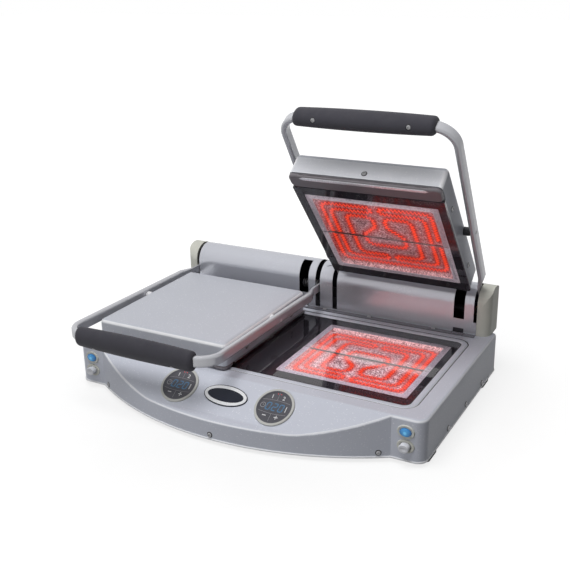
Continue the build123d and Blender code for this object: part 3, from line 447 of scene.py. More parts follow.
def painted_bed_glow():
    """Painted light of the ribbon on its bed: reddens the bed's colour along the ribbon, and makes it glow
    there and on its far walls.
    """
    nodes, taken, given = make_group("painted bed glow", ("Board", "Grain"), ("Colour", "Glow"))
    ribbon_nearness = nodes.put("Attribute", attribute_name="ribbon_nearness").outputs["Fac"]
    cove = nodes.put("Attribute", attribute_name="cove").outputs["Fac"]
    shade = nodes.mix(nodes.spread(ribbon_nearness, 0.35, 1.0), taken["Board"], (0.22, 0.02, 0.015))
    glow = nodes.mix(nodes.spread(ribbon_nearness, 0.0, 0.6), (0.11, 0.010, 0.008), (0.55, 0.030, 0.016))
    glow = nodes.mix(nodes.spread(ribbon_nearness, 0.8, 1.0), glow, (0.26, 0.010, 0.005))
    glow = nodes.mix(cove, glow, (1.0, 0.40, 0.36))
    glow = nodes.mix(nodes.times(taken["Grain"], 0.6), glow, (0.06, 0.01, 0.01))
    nodes.lead(given, Colour=shade, Glow=glow)


def hot_metal():
    """The bright red of hot metal, a little darker in patches."""
    nodes, _, given = make_group("hot metal", (), ("Glow", "Roughness"))
    patches = nodes.noise(300.0, 3.0, 0.6)
    glow = nodes.mix(nodes.spread(patches, 0.3, 0.7), (0.80, 0.045, 0.012), (1.0, 0.065, 0.020))
    nodes.lead(given, Glow=glow, Roughness=nodes.spread(patches, 0.0, 1.0, 0.5, 0.7))


def ink_mottle():
    """The slight mottle of screen-printed ink."""
    nodes, taken, given = make_group("ink mottle", ("Colour",), ("Colour", "Roughness"))
    mottle = nodes.noise(1800.0, 3.0, 0.6)
    shade = nodes.tinted(taken["Colour"], nodes.spread(mottle, 0.35, 0.65, 0.8, 1.0))
    nodes.lead(given, Colour=shade, Roughness=nodes.spread(mottle, 0.0, 1.0, 0.35, 0.5))


for effect in (
    satin_grain, edge_wear_and_light, painted_bend_highlight, settled_dust, moulded_grain,
    flake_sparkle, mineral_speckle, painted_bed_glow, hot_metal, ink_mottle,
):
    effect()


# Finishes
FINISHES = {}


def start_finish(name):
    """Starts a finish and keeps it by its name: its nodes and its shader."""
    FINISHES[name] = bpy.data.materials.new(name)
    FINISHES[name].use_nodes = True
    tree = FINISHES[name].node_tree
    return ShaderTree(tree), tree.nodes["Principled BSDF"]


def metal(
    name, colour, metallic, gloss, stretch=EVEN,
    depth=0.05, wear=0.0, dust=0.0, sparkle=0.0, shine=0.3, bend=0.0,
):
    """Satin or brushed metal: grain along a direction, rubbed edges that are lighter also as a painted
    highlight, a painted highlight on its bends and a little dust.
    """
    nodes, shader = start_finish(name)
    grain = nodes.group(
        "satin grain", Colour=colour, Stretch=stretch, Depth=depth, Gloss=gloss, Gloss_Spread=0.07
    )
    shade = grain["Colour"]
    if sparkle:
        flakes = nodes.group("flake sparkle", Share=sparkle, Flake_Scale=900.0)["Mask"]
        shade = nodes.mix(nodes.times(flakes, 0.35), shade, GLINT)
    shade = nodes.layered(shade, RUBBED_EDGE_AND_HIGHLIGHT, "edge wear and painted light", Amount=wear, Width=1.2 * mm)
    # Painted highlight along the upper bends
    shade = nodes.layered(shade, GLINT, "painted bend highlight", Amount=bend)
    shade = nodes.layered(shade, METAL_DUST, "settled dust", Amount=dust, Patch_Scale=30.0)
    normal = nodes.bump(grain["Height"], 0.12, 0.15 * mm)
    nodes.lead(shader, Base_Color=shade, Roughness=grain["Roughness"], Metallic=metallic)
    nodes.lead(shader, Normal=normal, Specular_IOR_Level=shine)


def housing_steel():
    """The hinge housing: satin outside, with painted shade inside and on its flange."""
    nodes, shader = start_finish("housing_steel")
    values = dict(Stretch=EVEN, Depth=0.04, Gloss=0.24, Gloss_Spread=0.05)
    grain = nodes.group("satin grain", Colour=(0.55, 0.56, 0.61), **values)
    low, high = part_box("left_end_block")
    radius = (high.y - low.y) / 2
    place = nodes.axes(nodes.place())
    across = nodes.math("SUBTRACT", place["Y"], (low.y + high.y) / 2)
    above = nodes.math("MAXIMUM", nodes.math("SUBTRACT", place["Z"], high.z - radius), 0.0)
    squares = nodes.math("ADD", nodes.math("POWER", across, 2.0), nodes.math("POWER", above, 2.0))
    reach = nodes.math("SQRT", squares)
    inside = nodes.spread(reach, radius - inside_start, radius - inside_full)
    flange = nodes.spread(reach, radius + flange_start, radius + flange_full)
    # Painted shade: near black inside the housing, dark grey on its flange
    shade = nodes.mix(inside, grain["Colour"], (0.012, 0.011, 0.016))
    shade = nodes.mix(flange, shade, (0.20, 0.20, 0.22))
    rough = nodes.math("MULTIPLY_ADD", inside, 0.4, grain["Roughness"])
    normal = nodes.bump(grain["Height"], 0.1, 0.15 * mm)
    nodes.lead(shader, Base_Color=shade, Roughness=rough, Metallic=0.45)
    nodes.lead(shader, Normal=normal, Specular_IOR_Level=0.1)


def moulding(name, colour, roughness, pebble=1500.0, depth=0.12, wear=0.0, edge_tone=SCUFFED, dust=0.0):
    """Moulded plastic or rubber: pebbled skin, edges in a tone of their own (scuffs, and on the grip
    painted shade) and dust on what faces up.
    """
    nodes, shader = start_finish(name)
    grain = nodes.group("moulded grain", Colour=colour, Pebble_Scale=pebble, Depth=depth)
    shade = nodes.layered(grain["Colour"], edge_tone, "edge wear and painted light", Amount=wear, Width=0.8 * mm)
    shade = nodes.layered(shade, PLASTIC_DUST, "settled dust", Amount=dust, Patch_Scale=60.0)
    normal = nodes.bump(grain["Height"], 0.25, 0.1 * mm)
    rough = nodes.spread(grain["Height"], 0.0, 1.0, roughness - 0.06, roughness + 0.08)
    nodes.lead(shader, Base_Color=shade, Roughness=rough, Normal=normal, Specular_IOR_Level=0.3)


def smoked_glass():
    """Clear ceramic glass with a faint smoke tint, fine wipe marks, and lamps shining through."""
    nodes, shader = start_finish("black_glass")
    wipes = nodes.noise(40.0, 6.0, 0.7)
    rough = nodes.spread(wipes, 0.45, 0.8, 0.015, 0.07)
    tint = nodes.mix(nodes.spread(wipes, 0.3, 0.7), (0.86, 0.84, 0.87), (0.93, 0.91, 0.93))
    nodes.lead(shader, Base_Color=tint, Roughness=rough, Metallic=0.0, Transmission_Weight=1.0, IOR=1.45)
    nodes.lead(shader, Specular_IOR_Level=0.2)
    passing = nodes.put("BsdfTransparent", {"Color": (0.88, 0.86, 0.88)})
    shadow = nodes.put("LightPath").outputs["Is Shadow Ray"]
    blend = nodes.put("MixShader", {0: shadow, 1: shader.outputs[0], 2: passing.outputs[0]})
    nodes.surface("Material Output", blend)


def printed_black():
    """Fired black print on the back of the glass."""
    nodes, shader = start_finish("printed_black")
    dots = nodes.cells(1200.0)["Distance"]
    shade = nodes.mix(nodes.spread(dots, 0.0, 0.8), (0.012, 0.011, 0.014), (0.02, 0.018, 0.023))
    rough = nodes.spread(dots, 0.0, 0.8, 0.5, 0.65)
    nodes.lead(shader, Base_Color=shade, Roughness=rough, Specular_IOR_Level=0.08)


def pressed_board():
    """Pressed mineral board of the heater's rim."""
    nodes, shader = start_finish("insulation_board")
    board = nodes.group("mineral speckle", Pale=(0.86, 0.80, 0.87), Dark=(0.42, 0.37, 0.42), Share=0.45)
    normal = nodes.bump(board["Height"], 0.4, 0.4 * mm)
    nodes.lead(shader, Base_Color=board["Colour"], Roughness=board["Roughness"], Normal=normal)


def glowing_bed(name, strength):
    """The heater's floor: speckled fibre with a painted glow along the ribbon and on its far wall."""
    nodes, shader = start_finish(name)
    board = nodes.group("mineral speckle", Pale=(0.42, 0.35, 0.37), Dark=(0.06, 0.04, 0.05), Share=0.50)
    lit = nodes.group("painted bed glow", Board=board["Colour"], Grain=board["Grain"])
    normal = nodes.bump(board["Height"], 0.5, 0.5 * mm)
    nodes.lead(shader, Base_Color=lit["Colour"], Roughness=board["Roughness"], Normal=normal)
    nodes.lead(shader, Emission_Color=lit["Glow"], Emission_Strength=strength)


def glowing_ribbon(name, strength):
    """Hot metal strip, dark where it doesn't glow."""
    nodes, shader = start_finish(name)
    hot = nodes.group("hot metal")
    nodes.lead(shader, Base_Color=(0.1, 0.02, 0.02), Roughness=hot["Roughness"])
    nodes.lead(shader, Emission_Color=hot["Glow"], Emission_Strength=strength)


def lit_lens():
    """Blue lens with a bright middle, lit from behind."""
    nodes, shader = start_finish("lit_lens")
    low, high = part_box("right_lit_button")
    flat = nodes.vector("MULTIPLY", nodes.vector("ABSOLUTE", nodes.place())[0], (1, 0, 1))[0]
    middle = (abs(low.x + high.x) / 2, 0, (low.z + high.z) / 2)
    reach = nodes.vector("DISTANCE", flat, middle)["Value"]
    rays = nodes.noise(500.0)
    uneven = nodes.math("MULTIPLY_ADD", nodes.swing(rays), lens_ray, reach)
    outward = nodes.spread(uneven, lens_pale_radius, lens_deep_radius)
    shade = nodes.mix(outward, (0.05, 0.31, 0.64), (0.02, 0.12, 0.33))
    dot = nodes.spread(reach, lens_dot_radius, lens_core_radius)
    shade = nodes.mix(dot, shade, (0.16, 0.54, 0.86))
    nodes.lead(shader, Base_Color=shade, Roughness=nodes.spread(rays, 0.2, 0.8, 0.12, 0.22))
    nodes.lead(shader, Emission_Color=shade, Emission_Strength=0.25)


def printed_ink(name, colour, glow=0.0):
    """Screen-printed ink with a slight mottle, or a lit segment behind the film."""
    nodes, shader = start_finish(name)
    ink = nodes.group("ink mottle", Colour=colour)
    nodes.lead(shader, Base_Color=ink["Colour"], Roughness=ink["Roughness"])
    if glow:
        nodes.lead(shader, Emission_Color=ink["Colour"], Emission_Strength=glow)


def lacquered_board():
    """Green board with copper tracks under its lacquer."""
    nodes, shader = start_finish("circuit_board")
    tracks = nodes.cells(220.0, feature="DISTANCE_TO_EDGE")["Distance"]
    shade = nodes.mix(nodes.spread(tracks, 0.05, 0.02), (0.015, 0.11, 0.045), (0.06, 0.24, 0.1))
    rough = nodes.spread(nodes.noise(80.0), 0.3, 0.7, 0.25, 0.4)
    nodes.lead(shader, Base_Color=shade, Roughness=rough)


BRUSHED = dict(stretch=ALONG_X, depth=0.06, wear=0.3)
SATIN = dict(depth=0.04, wear=0.4, dust=0.02, sparkle=0.02)
SMOOTH = dict(roughness=0.5, pebble=1200.0, depth=0.05)
BUTTON = dict(roughness=0.45, pebble=1600.0)
FILM = dict(roughness=0.6, pebble=2200.0, depth=0.1)
metal("casing_silver", (0.54, 0.56, 0.63), 0.05, 0.40, shine=0.12, bend=0.65, **SATIN)
metal("lid_satin", (0.52, 0.535, 0.59), 0.12, 0.34, shine=0.08, bend=1.0, **SATIN)
metal("pan_steel", (0.30, 0.30, 0.31), 0.7, 0.45, dust=0.1, **BRUSHED)
metal("plain_steel", (0.34, 0.34, 0.36), 0.8, 0.4, dust=0.1, **BRUSHED)
metal("rail_aluminium", (0.18, 0.165, 0.18), 0.12, 0.35, **BRUSHED)
metal("arm_steel", (0.52, 0.525, 0.555), 0.35, 0.22, depth=0.04, wear=0.4, shine=0.12)
metal("screw_steel", (0.34, 0.34, 0.35), 0.5, 0.35, depth=0.08, wear=0.2)
metal("bush_brass", (0.62, 0.45, 0.18), 0.9, 0.35, ALONG_X, depth=0.08, wear=0.2)
metal("limiter_tube", (0.07, 0.065, 0.065), 0.3, 0.45, depth=0.1)
# Near black steel of the parts seen through the slots: painted shade
metal("shaded_inner_steel", (0.035, 0.034, 0.04), 0.2, 0.5, depth=0.1)
# Lit and shaded copies of the collar: painted highlight on the left, painted shade on the right
metal("collar_painted_highlight", (0.74, 0.74, 0.76), 0.3, 0.2)
metal("collar_painted_shade", (0.03, 0.03, 0.034), 0.2, 0.35, wear=0.2)
metal("strip_bright", (0.80, 0.80, 0.84), 0.4, 0.25)
# Light steel of the fold: painted highlight
metal("fold_painted_highlight", (0.80, 0.81, 0.84), 0.05, 0.4)
# Dark steel of the hem: painted shade
metal("shaded_hem_steel", (0.15, 0.15, 0.17), 0.1, 0.35, wear=0.3)
moulding("foot_rubber", (0.006, 0.006, 0.007), 0.85, 900.0, 0.1)
moulding("seal_rubber", (0.025, 0.024, 0.026), 0.7, 900.0, wear=0.2)
moulding("black_plastic", (0.025, 0.025, 0.027), 0.55, wear=0.2, dust=0.15)
# The grip's darker edges are painted shade
moulding("grip_plastic", (0.041, 0.040, 0.049), 0.62, 1300.0, 0.08, 0.35, (0.02, 0.02, 0.022), 0.03)
moulding("moulded_grey", (0.60, 0.60, 0.54), wear=0.25, edge_tone=(0.7, 0.7, 0.66), dust=0.05, **SMOOTH)
moulding("ring_grey", (0.47, 0.47, 0.45), wear=0.3, edge_tone=(0.62, 0.62, 0.60), dust=0.03, **SMOOTH)
moulding("bezel_grey", (0.58, 0.58, 0.53), wear=0.25, edge_tone=(0.6, 0.6, 0.56), dust=0.03, **SMOOTH)
moulding("button_grey", (0.36, 0.37, 0.40), depth=0.06, wear=0.3, edge_tone=(0.6, 0.6, 0.62), **BUTTON)
moulding("cap_grey", (0.66, 0.67, 0.71), depth=0.05, wear=0.2, edge_tone=(0.7, 0.7, 0.72), **BUTTON)
moulding("panel_film", (0.088, 0.087, 0.099), **FILM)
moulding("badge_dark", (0.012, 0.014, 0.022), **FILM)
printed_ink("white_ink", (0.75, 0.75, 0.76))
printed_ink("line_ink", (0.32, 0.32, 0.34))
printed_ink("badge_white", (0.80, 0.81, 0.83))
printed_ink("blue_digit", (0.06, 0.16, 0.28), 0.2)
printed_ink("red_lamp", (0.75, 0.06, 0.08), 0.3)
glowing_bed("heater_bed", 0.8)
glowing_bed("lid_heater_bed", 0.5)
glowing_ribbon("heating_ribbon", 1.25)
glowing_ribbon("lid_heating_ribbon", 1.15)
housing_steel()
smoked_glass()
printed_black()
pressed_board()
lit_lens()
lacquered_board()
OWN_FINISH = {
    "hinge_cover": "housing_steel",
    "hinge_bed": "shaded_inner_steel",
    "bearing_brackets": "shaded_inner_steel",
    "control_bezels": "ring_grey",
    "lower_heater_limiters": "limiter_tube",
    "left_pivot_pins": "collar_painted_highlight",
    "right_pivot_pins": "collar_painted_shade",
}
for side in ("left", "right"):
    OWN_FINISH[f"{side}_upper_heater_limiter"] = "limiter_tube"
    OWN_FINISH[f"{side}_lid_cover"] = "lid_satin"
    OWN_FINISH[f"{side}_hinge_shaft"] = "shaded_inner_steel"

for name, node in NODES.items():
    for slot in node.material_slots:
        slot.material = FINISHES[OWN_FINISH.get(name, SLOT_OF[name])]


# Meshes
def as_piece(name, mesh, body, finish):
    """Makes a piece of a mesh, with its finish, and lets it ride on a body."""
    mesh.name = name
    mesh.materials.append(FINISHES[finish])
    piece = bpy.data.objects.new(name, mesh)
    scene.collection.objects.link(piece)
    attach(piece, body)
    return piece


def mesh_of(points, faces):
    mesh = bpy.data.meshes.new("piece")
    mesh.from_pydata([tuple(point) for point in points], [], faces)
    mesh.validate()
    for face in mesh.polygons:
        face.use_smooth = True
    return mesh


def with_edges(mesh, angle):
    """Keeps edges sharper than an angle crisp on a smooth mesh."""
    mesh.set_sharp_from_angle(angle=math.radians(angle))
    return mesh


def sheet_of(curve, thickness):
    """The mesh of a flat curve, given a thickness about z 0."""
    curve.extrude = thickness / 2
    holder = bpy.data.objects.new(curve.name, curve)
    mesh = bpy.data.meshes.new_from_object(holder)
    bpy.data.objects.remove(holder)
    return mesh


def filled(outlines, thickness):
    """A flat sheet in XY with holes, from closed outlines."""
    curve = bpy.data.curves.new("outline", "CURVE")
    curve.dimensions = "2D"
    curve.fill_mode = "BOTH"
    for outline in outlines:
        spline = curve.splines.new("POLY")
        spline.points.add(len(outline) - 1)
        for point, (x, y) in zip(spline.points, outline):
            point.co = (x, y, 0, 1)
        spline.use_cyclic_u = True
    return sheet_of(curve, thickness)


def arc(x, y, radius, start, sweep, steps):
    """The points of an arc about a place, with both its ends."""
    angles = [start + sweep * step / steps for step in range(steps + 1)]
    return [(x + radius * math.cos(a), y + radius * math.sin(a)) for a in angles]


def ring(radius, x=0.0, y=0.0, steps=40, squeeze=1.0):
    return [(px, y + squeeze * py) for px, py in arc(x, 0, radius, 0, 2 * math.pi, steps)[:-1]]


def rounded_box(width, depth, corner, x, y, steps=6):
    """The outline of a rectangle with round corners."""
    outline = []
    for turn, (sx, sy) in enumerate(((1, 1), (-1, 1), (-1, -1), (1, -1))):
        cx = x + sx * (width / 2 - corner)
        cy = y + sy * (depth / 2 - corner)
        outline += arc(cx, cy, corner, turn * quarter, quarter, steps)
    return outline


def skinned(loops, wrap=False):
    """A skin over a row of closed loops: round to the first loop again, or with its ends closed."""
    count = len(loops[0])
    points = [point for loop in loops for point in loop]
    faces = []
    for row in range(len(loops) if wrap else len(loops) - 1):
        here = row * count
        above = (row + 1) % len(loops) * count
        for step in range(count):
            after = (step + 1) % count
            faces.append((here + step, here + after, above + after, above + step))
    if not wrap:
        faces.append(tuple(range(count))[::-1])
        faces.append(tuple(range(len(points) - count, len(points))))
    return mesh_of(points, faces)


def oval_form(rows, wrap=False, steps=40):
    """An oval form about Z from (half width, half height, rise) rows."""
    loops = []
    for wide, high, rise in rows:
        loops.append([(x, y, rise) for x, y in ring(wide, steps=steps, squeeze=high / wide)])
    return with_edges(skinned(loops, wrap), oval_edge)


def joined_mesh(meshes):
    work = bmesh.new()
    for mesh in meshes:
        work.from_mesh(mesh)
        bpy.data.meshes.remove(mesh)
    joined = bpy.data.meshes.new("piece")
    work.to_mesh(joined)
    work.free()
    return joined


def upright(axis, place):
    """The turn and shift that bring a piece's own Z onto an axis at a place."""
    turn = Vector((0, 0, 1)).rotation_difference(axis).to_matrix().to_4x4()
    return Matrix.Translation(place) @ turn


# Poses of the open station, from the joints
def joint_turn(name, degrees):
    """A turn about a joint's own axis and place."""
    joint = JOINTS[name]
    there = Matrix.Translation(joint["pos_m"])
    turn = Matrix.Rotation(math.radians(degrees), 4, Vector(joint["axis"]))
    return there @ turn @ there.inverted()


station_x = JOINTS["right_lift"]["pos_m"][0]
RAISED = joint_turn("right_lift", -JOINTS["right_lift"]["range_deg"][0])
TIPPED = joint_turn("right_tilt", -JOINTS["right_tilt"]["range_deg"][1])
AS_BUILT = Matrix.Identity(4)
STATIONS = {"left": (-station_x, AS_BUILT), "right": (station_x, TIPPED @ RAISED)}


# Heaters
board_low, board_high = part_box("left_upper_heater_insulation")
heater_width = board_high.x - board_low.x
heater_depth = board_high.y - board_low.y
heater_y = (board_low.y + board_high.y) / 2
upper_rim_z = board_low.z
lower_rim_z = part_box("lower_heater_insulation")[1].z


def ribbon_route():
    """The ribbon's corners about the heater's middle: two outer passes, then a loop with a bulb."""
    outer_x = heater_width / 2 - heater_rim - ring_clear
    outer_y = heater_depth / 2 - heater_rim - ring_end_clear
    second_x = outer_x - ring_step
    second_y = outer_y - ring_step
    loop_x = second_x - loop_step
    front = loop_front - outer_y
    rear = outer_y - loop_rear
    half = [
        (bulb_half, bulb_rear),
        (bulb_half, bulb_front),
        (neck_half, bulb_front + neck_half - bulb_half),
        (neck_half, front),
        (loop_x, front),
        (loop_x, rear),
        (turn_half, rear),
        (turn_half, second_y),
        (second_x, second_y),
        (second_x, -second_y),
        (turn_half, -second_y),
        (turn_half, -outer_y),
        (outer_x, -outer_y),
    ]
    left = [(-x, y) for x, y in half] + [(-outer_x, outer_y), (outer_x, outer_y), (outer_x, terminal_half)]
    return left[::-1] + half + [(outer_x, -terminal_half)]


def rounded_line(corners, largest, pitch):
    """Evenly spaced places and headings along a line whose corners are arcs, smaller on short runs."""
    line = []
    start = Vector(corners[0])

    def straight(end):
        count = max(2, int((end - start).length / (pitch / 4)))
        line.extend(start.lerp(end, step / count) for step in range(count))

    for before, corner, after in zip(corners, corners[1:], corners[2:]):
        corner = Vector(corner)
        back = Vector(before) - corner
        ahead = Vector(after) - corner
        radius = min(largest, turn_share * back.length, turn_share * ahead.length)
        back.normalize()
        ahead.normalize()
        half_angle = back.angle(ahead) / 2
        cut = radius / math.tan(half_angle)
        middle = corner + (back + ahead).normalized() * radius / math.sin(half_angle)
        entry = corner + back * cut
        straight(entry)
        start = corner + ahead * cut
        first = entry - middle
        sweep = first.angle_signed(start - middle)
        for step in range(turn_steps):
            line.append(middle + Matrix.Rotation(-sweep * step / turn_steps, 2) @ first)
    straight(Vector(corners[-1]))
    line.append(Vector(corners[-1]))
    gone = [0.0]
    for here, there in zip(line, line[1:]):
        gone.append(gone[-1] + (there - here).length)
    along = np.linspace(0, gone[-1], round(gone[-1] / pitch) + 1)
    xs = np.interp(along, gone, [point.x for point in line])
    ys = np.interp(along, gone, [point.y for point in line])
    headings = np.unwrap(np.arctan2(np.gradient(ys), np.gradient(xs)))
    return along, xs, ys, headings


def ribbon_mesh(place, rise):
    """A thin strip on edge that waves from side to side along its route."""
    along, xs, ys, headings = rounded_line(ribbon_route(), ribbon_turn, ribbon_wave / wave_steps)
    side = (ribbon_width - ribbon_strip) / 2 * np.sin(2 * math.pi * along / ribbon_wave)
    waved_x = xs - side * np.sin(headings)
    waved_y = ys + side * np.cos(headings)
    way = np.arctan2(np.gradient(waved_y), np.gradient(waved_x))
    top = Vector((0, 0, rise))
    loops = []
    for x, y, angle in zip(waved_x, waved_y, way):
        across = Vector((-math.sin(angle), math.cos(angle), 0)) * ribbon_strip / 2
        middle = place + Vector((x, y, 0))
        loops.append([middle - across, middle + across, middle + across + top, middle - across + top])
    return with_edges(skinned(loops), ribbon_edge)


def bed_ribbon_nearness(xs, ys):
    """How close each place of the bed is to the ribbon, from 1 on it to 0 far off."""
    _, route_x, route_y, _ = rounded_line(ribbon_route(), ribbon_turn, bed_grain)
    rows = []
    for x in xs:
        gap = np.hypot(x - route_x[None, :], ys[:, None] - route_y[None, :]).min(1)
        rows.append(np.exp(-np.maximum(gap - glow_core, 0) / glow_reach))
    return np.concatenate(rows)


def bed_mesh(place, up):
    """The granular floor of a heater's well, lifted in grains and curved up to its walls."""
    width = heater_width - 2 * heater_rim
    depth = heater_depth - 2 * heater_rim
    across = round(width / bed_grain)
    deep = round(depth / bed_grain)
    xs = width * (np.arange(across + 1) / across - 0.5)
    ys = depth * (np.arange(deep + 1) / deep - 0.5)
    grains = np.random.default_rng(grain_seed).random((across + 1, deep + 1))
    side = np.maximum(0.0, 1 - (width / 2 - np.abs(xs)) / cove_side)
    end = np.maximum(0.0, 1 - (depth / 2 - np.abs(ys)) / cove_end)
    rise = np.maximum(side[:, None], end[None, :]) ** 2
    grained = bed_lift * (least_lift + (1 - least_lift) * grains)
    lift = grained * (1 - rise) + (well_depth - cove_clear) * rise
    points = []
    for x, row in zip(xs, lift):
        points += [(place.x + x, place.y + y, place.z + up * height) for y, height in zip(ys, row)]
    faces = []
    for i in range(across):
        for j in range(deep):
            corner = i * (deep + 1) + j
            face = (corner, corner + deep + 1, corner + deep + 2, corner + 1)
            faces.append(face if up > 0 else face[::-1])
    mesh = mesh_of(points, faces)
    # Where the ribbon's painted glow falls: near the ribbon, and on the far walls
    for label, values in (("ribbon_nearness", bed_ribbon_nearness(xs, ys)), ("cove", np.tile(end, across + 1))):
        attribute = mesh.attributes.new(label, "FLOAT", "POINT")
        attribute.data.foreach_set("value", values.astype(np.float32))
    return mesh


def heater(name, x, rim_z, up, pose, body, ribbon_finish, bed_finish):
    """A glowing ribbon on its granular bed, in the well of a heater that faces up or down."""
    floor = Vector((x, heater_y, rim_z - up * well_depth))
    mesh = ribbon_mesh(floor, up * ribbon_height)
    if up < 0:
        mesh.flip_normals()
    mesh.transform(pose)
    ribbon = as_piece(f"{name}_ribbon", mesh, body, ribbon_finish)
    bed = bed_mesh(floor, up)
    bed.transform(pose)
    as_piece(f"{name}_bed", bed, body, bed_finish)
    return ribbon


def glass_print(name, glass, x, corner, z, windows, pose, body):
    """The black border fired on the back of a glass, with a clear window over each heater."""
    low, high = glass
    width = high.x - low.x - print_cover
    depth = high.y - low.y - print_cover
    outlines = [rounded_box(width, depth, corner, x, (low.y + high.y) / 2)]
    for window_x in windows:
        outlines.append(rounded_box(heater_width, heater_depth, window_corner, window_x, heater_y))
    mesh = filled(outlines, print_thickness)
    mesh.transform(pose @ Matrix.Translation((0, 0, z)))
    as_piece(name, mesh, body, "printed_black")


for side, (x, _) in STATIONS.items():
    ribbon = heater(f"{side}_lower", x, lower_rim_z, 1, AS_BUILT, "base", "heating_ribbon", "heater_bed")
    if side == "left":
        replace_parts(ribbon, "lower_heater_elements")
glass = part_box("lower_glass")
glass_x = (glass[0].x + glass[1].x) / 2
windows = [x for x, _ in STATIONS.values()]
z = glass[0].z + print_cover
glass_print("lower_glass_print", glass, glass_x, glass_corner, z, windows, AS_BUILT, "base")
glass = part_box("left_upper_glass")
z = glass[1].z - print_cover
for side, (x, pose) in STATIONS.items():
    lid = f"{side}_lid"
    ribbon = heater(f"{side}_upper", x, upper_rim_z, -1, pose, lid, "lid_heating_ribbon", "lid_heater_bed")
    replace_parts(ribbon, f"{side}_upper_heater_element")
    glass_print(f"{side}_upper_glass_print", glass, x, upper_glass_corner, z, [x], pose, lid)


# Screws
def screw_mesh():
    """A domed head with a hexagon socket, on a short shank, with its seat at z 0."""
    top = screw_head_height
    rows = [(screw_shank_radius, -screw_shank_length), (screw_shank_radius, 0.0)]
    rows += [(out * screw_head_radius, rise * top) for out, rise in screw_head_rows]
    loops = [[(x, y, z) for x, y in ring(radius, steps=screw_steps)] for radius, z in rows]
    socket = []
    for x, y in ring(socket_radius, steps=screw_steps):
        part = (math.atan2(y, x) + math.pi / 6) % (math.pi / 3) - math.pi / 6
        flat = math.cos(math.pi / 6) / math.cos(part)
        socket.append((flat * x, flat * y))
    loops += [[(x, y, z) for x, y in socket] for z in (top, top - socket_depth)]
    return with_edges(skinned(loops), screw_edge)


def separate_solids(node):
    """The points of each separate solid in a node."""
    work = bmesh.new()
    work.from_mesh(NODES[node].data)
    bmesh.ops.remove_doubles(work, verts=work.verts, dist=same_point)
    left = set(work.verts)
    solids = []
    while left:
        wave = [left.pop()]
        found = list(wave)
        while wave:
            near = {edge.other_vert(vert) for vert in wave for edge in vert.link_edges} & left
            left -= near
            wave = list(near)
            found += wave
        solids.append(np.array([vert.co for vert in found]))
    work.free()
    return sorted(solids, key=lambda points: tuple(points.mean(0).round(4)))


def screw_pose(points):
    """Where a screw's head sits and which way its head points."""
    centre = (points.min(0) + points.max(0)) / 2
    values, ways = np.linalg.eigh(np.cov((points - centre).T))
    odd = 2 if values[2] - values[1] > values[1] - values[0] else 0
    axis = ways[:, odd]
    along = (points - centre) @ axis
    across = np.linalg.norm(points - centre - np.outer(along, axis), axis=1)
    head = along[across > head_share * screw_head_radius].mean()
    if head < (along.min() + along.max()) / 2:
        axis = -axis
        along = -along
    crown = points[along > along.max() - crown_depth]
    middle = (crown.min(0) + crown.max(0)) / 2
    return Vector(middle) - Vector(axis) * screw_head_height, Vector(axis)


def finer_screws(node):
    """Replaces every screw of a node by one with a socket in its head, on a black washer that paints the
    shade round its head.
    """
    heads = []
    shade_washers = []
    for points in separate_solids(node):
        seat, axis = screw_pose(points)
        heads.append(screw_mesh())
        # Black washers: painted shade round each head
        shade_washers.append(oval_form(shade_washer_rows, steps=screw_steps))
        for mesh in (heads[-1], shade_washers[-1]):
            mesh.transform(upright(axis, seat))
    body = NODES[node]["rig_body"]
    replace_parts(as_piece(f"{node}_socketed", joined_mesh(heads), body, "screw_steel"), node)
    as_piece(f"{node}_washers", joined_mesh(shade_washers), body, "black_plastic")


for node in sorted(NODES):
    if node.endswith("_screws"):
        finer_screws(node)


# Control discs and badge
def segment_digit(value, x, y, size):
    """The lit bars of one seven-bar digit, as slanted six-point outlines."""
    lit = {"0": "abcdef", "2": "abged"}[value]
    half_w = 0.27 * size
    half_h = 0.5 * size
    bars = {
        "a": ((-1, 1), (1, 1)),
        "b": ((1, 1), (1, 0)),
        "c": ((1, 0), (1, -1)),
        "d": ((-1, -1), (1, -1)),
        "e": ((-1, 0), (-1, -1)),
        "f": ((-1, 1), (-1, 0)),
        "g": ((-1, 0), (1, 0)),
    }
    thick = 0.065 * size
    slant = 0.14
    outlines = []
    for bar in lit:
        start, end = (Vector((across * half_w, up * half_h)) for across, up in bars[bar])
        way = (end - start).normalized()
        side = Vector((-way.y, way.x)) * thick
        inner = way * thick
        tip = way * 0.25 * thick
        upper = [start + tip, start + inner + side, end - inner + side]
        lower = [end - tip, end - inner - side, start + inner - side]
        outlines.append([(x + p.x + slant * p.y, y + p.y) for p in upper + lower])
    return outlines


def stroke(x0, y0, x1, y1, width=ink_line):
    """A straight bar between two places in shares of the panel, as a shape of one outline."""
    start = Vector((x0, y0)) * panel_radius
    end = Vector((x1, y1)) * panel_radius
    side = (end - start).orthogonal().normalized() * width / 2
    return [[tuple(p) for p in (start + side, end + side, end - side, start - side)]]


def bowed_band(half_x, y, bow):
    """A thin band across the disc that bows up or down in its middle."""
    xs = [half_x * (2 * step / band_steps - 1) for step in range(band_steps + 1)]
    line = [(x, y + bow * (1 - (x / half_x) ** 2)) for x in xs]
    return [(x, v + ink_line / 2) for x, v in line] + [(x, v - ink_line / 2) for x, v in line[::-1]]


def numeral(body, size, x, y):
    """A printed numeral as a flat sheet about z 0."""
    curve = bpy.data.curves.new("numeral", "FONT")
    curve.body = body
    curve.size = size
    curve.align_x = "CENTER"
    curve.align_y = "CENTER"
    mesh = sheet_of(curve, ink_height)
    mesh.transform(Matrix.Translation((x, y, 0)))
    return mesh


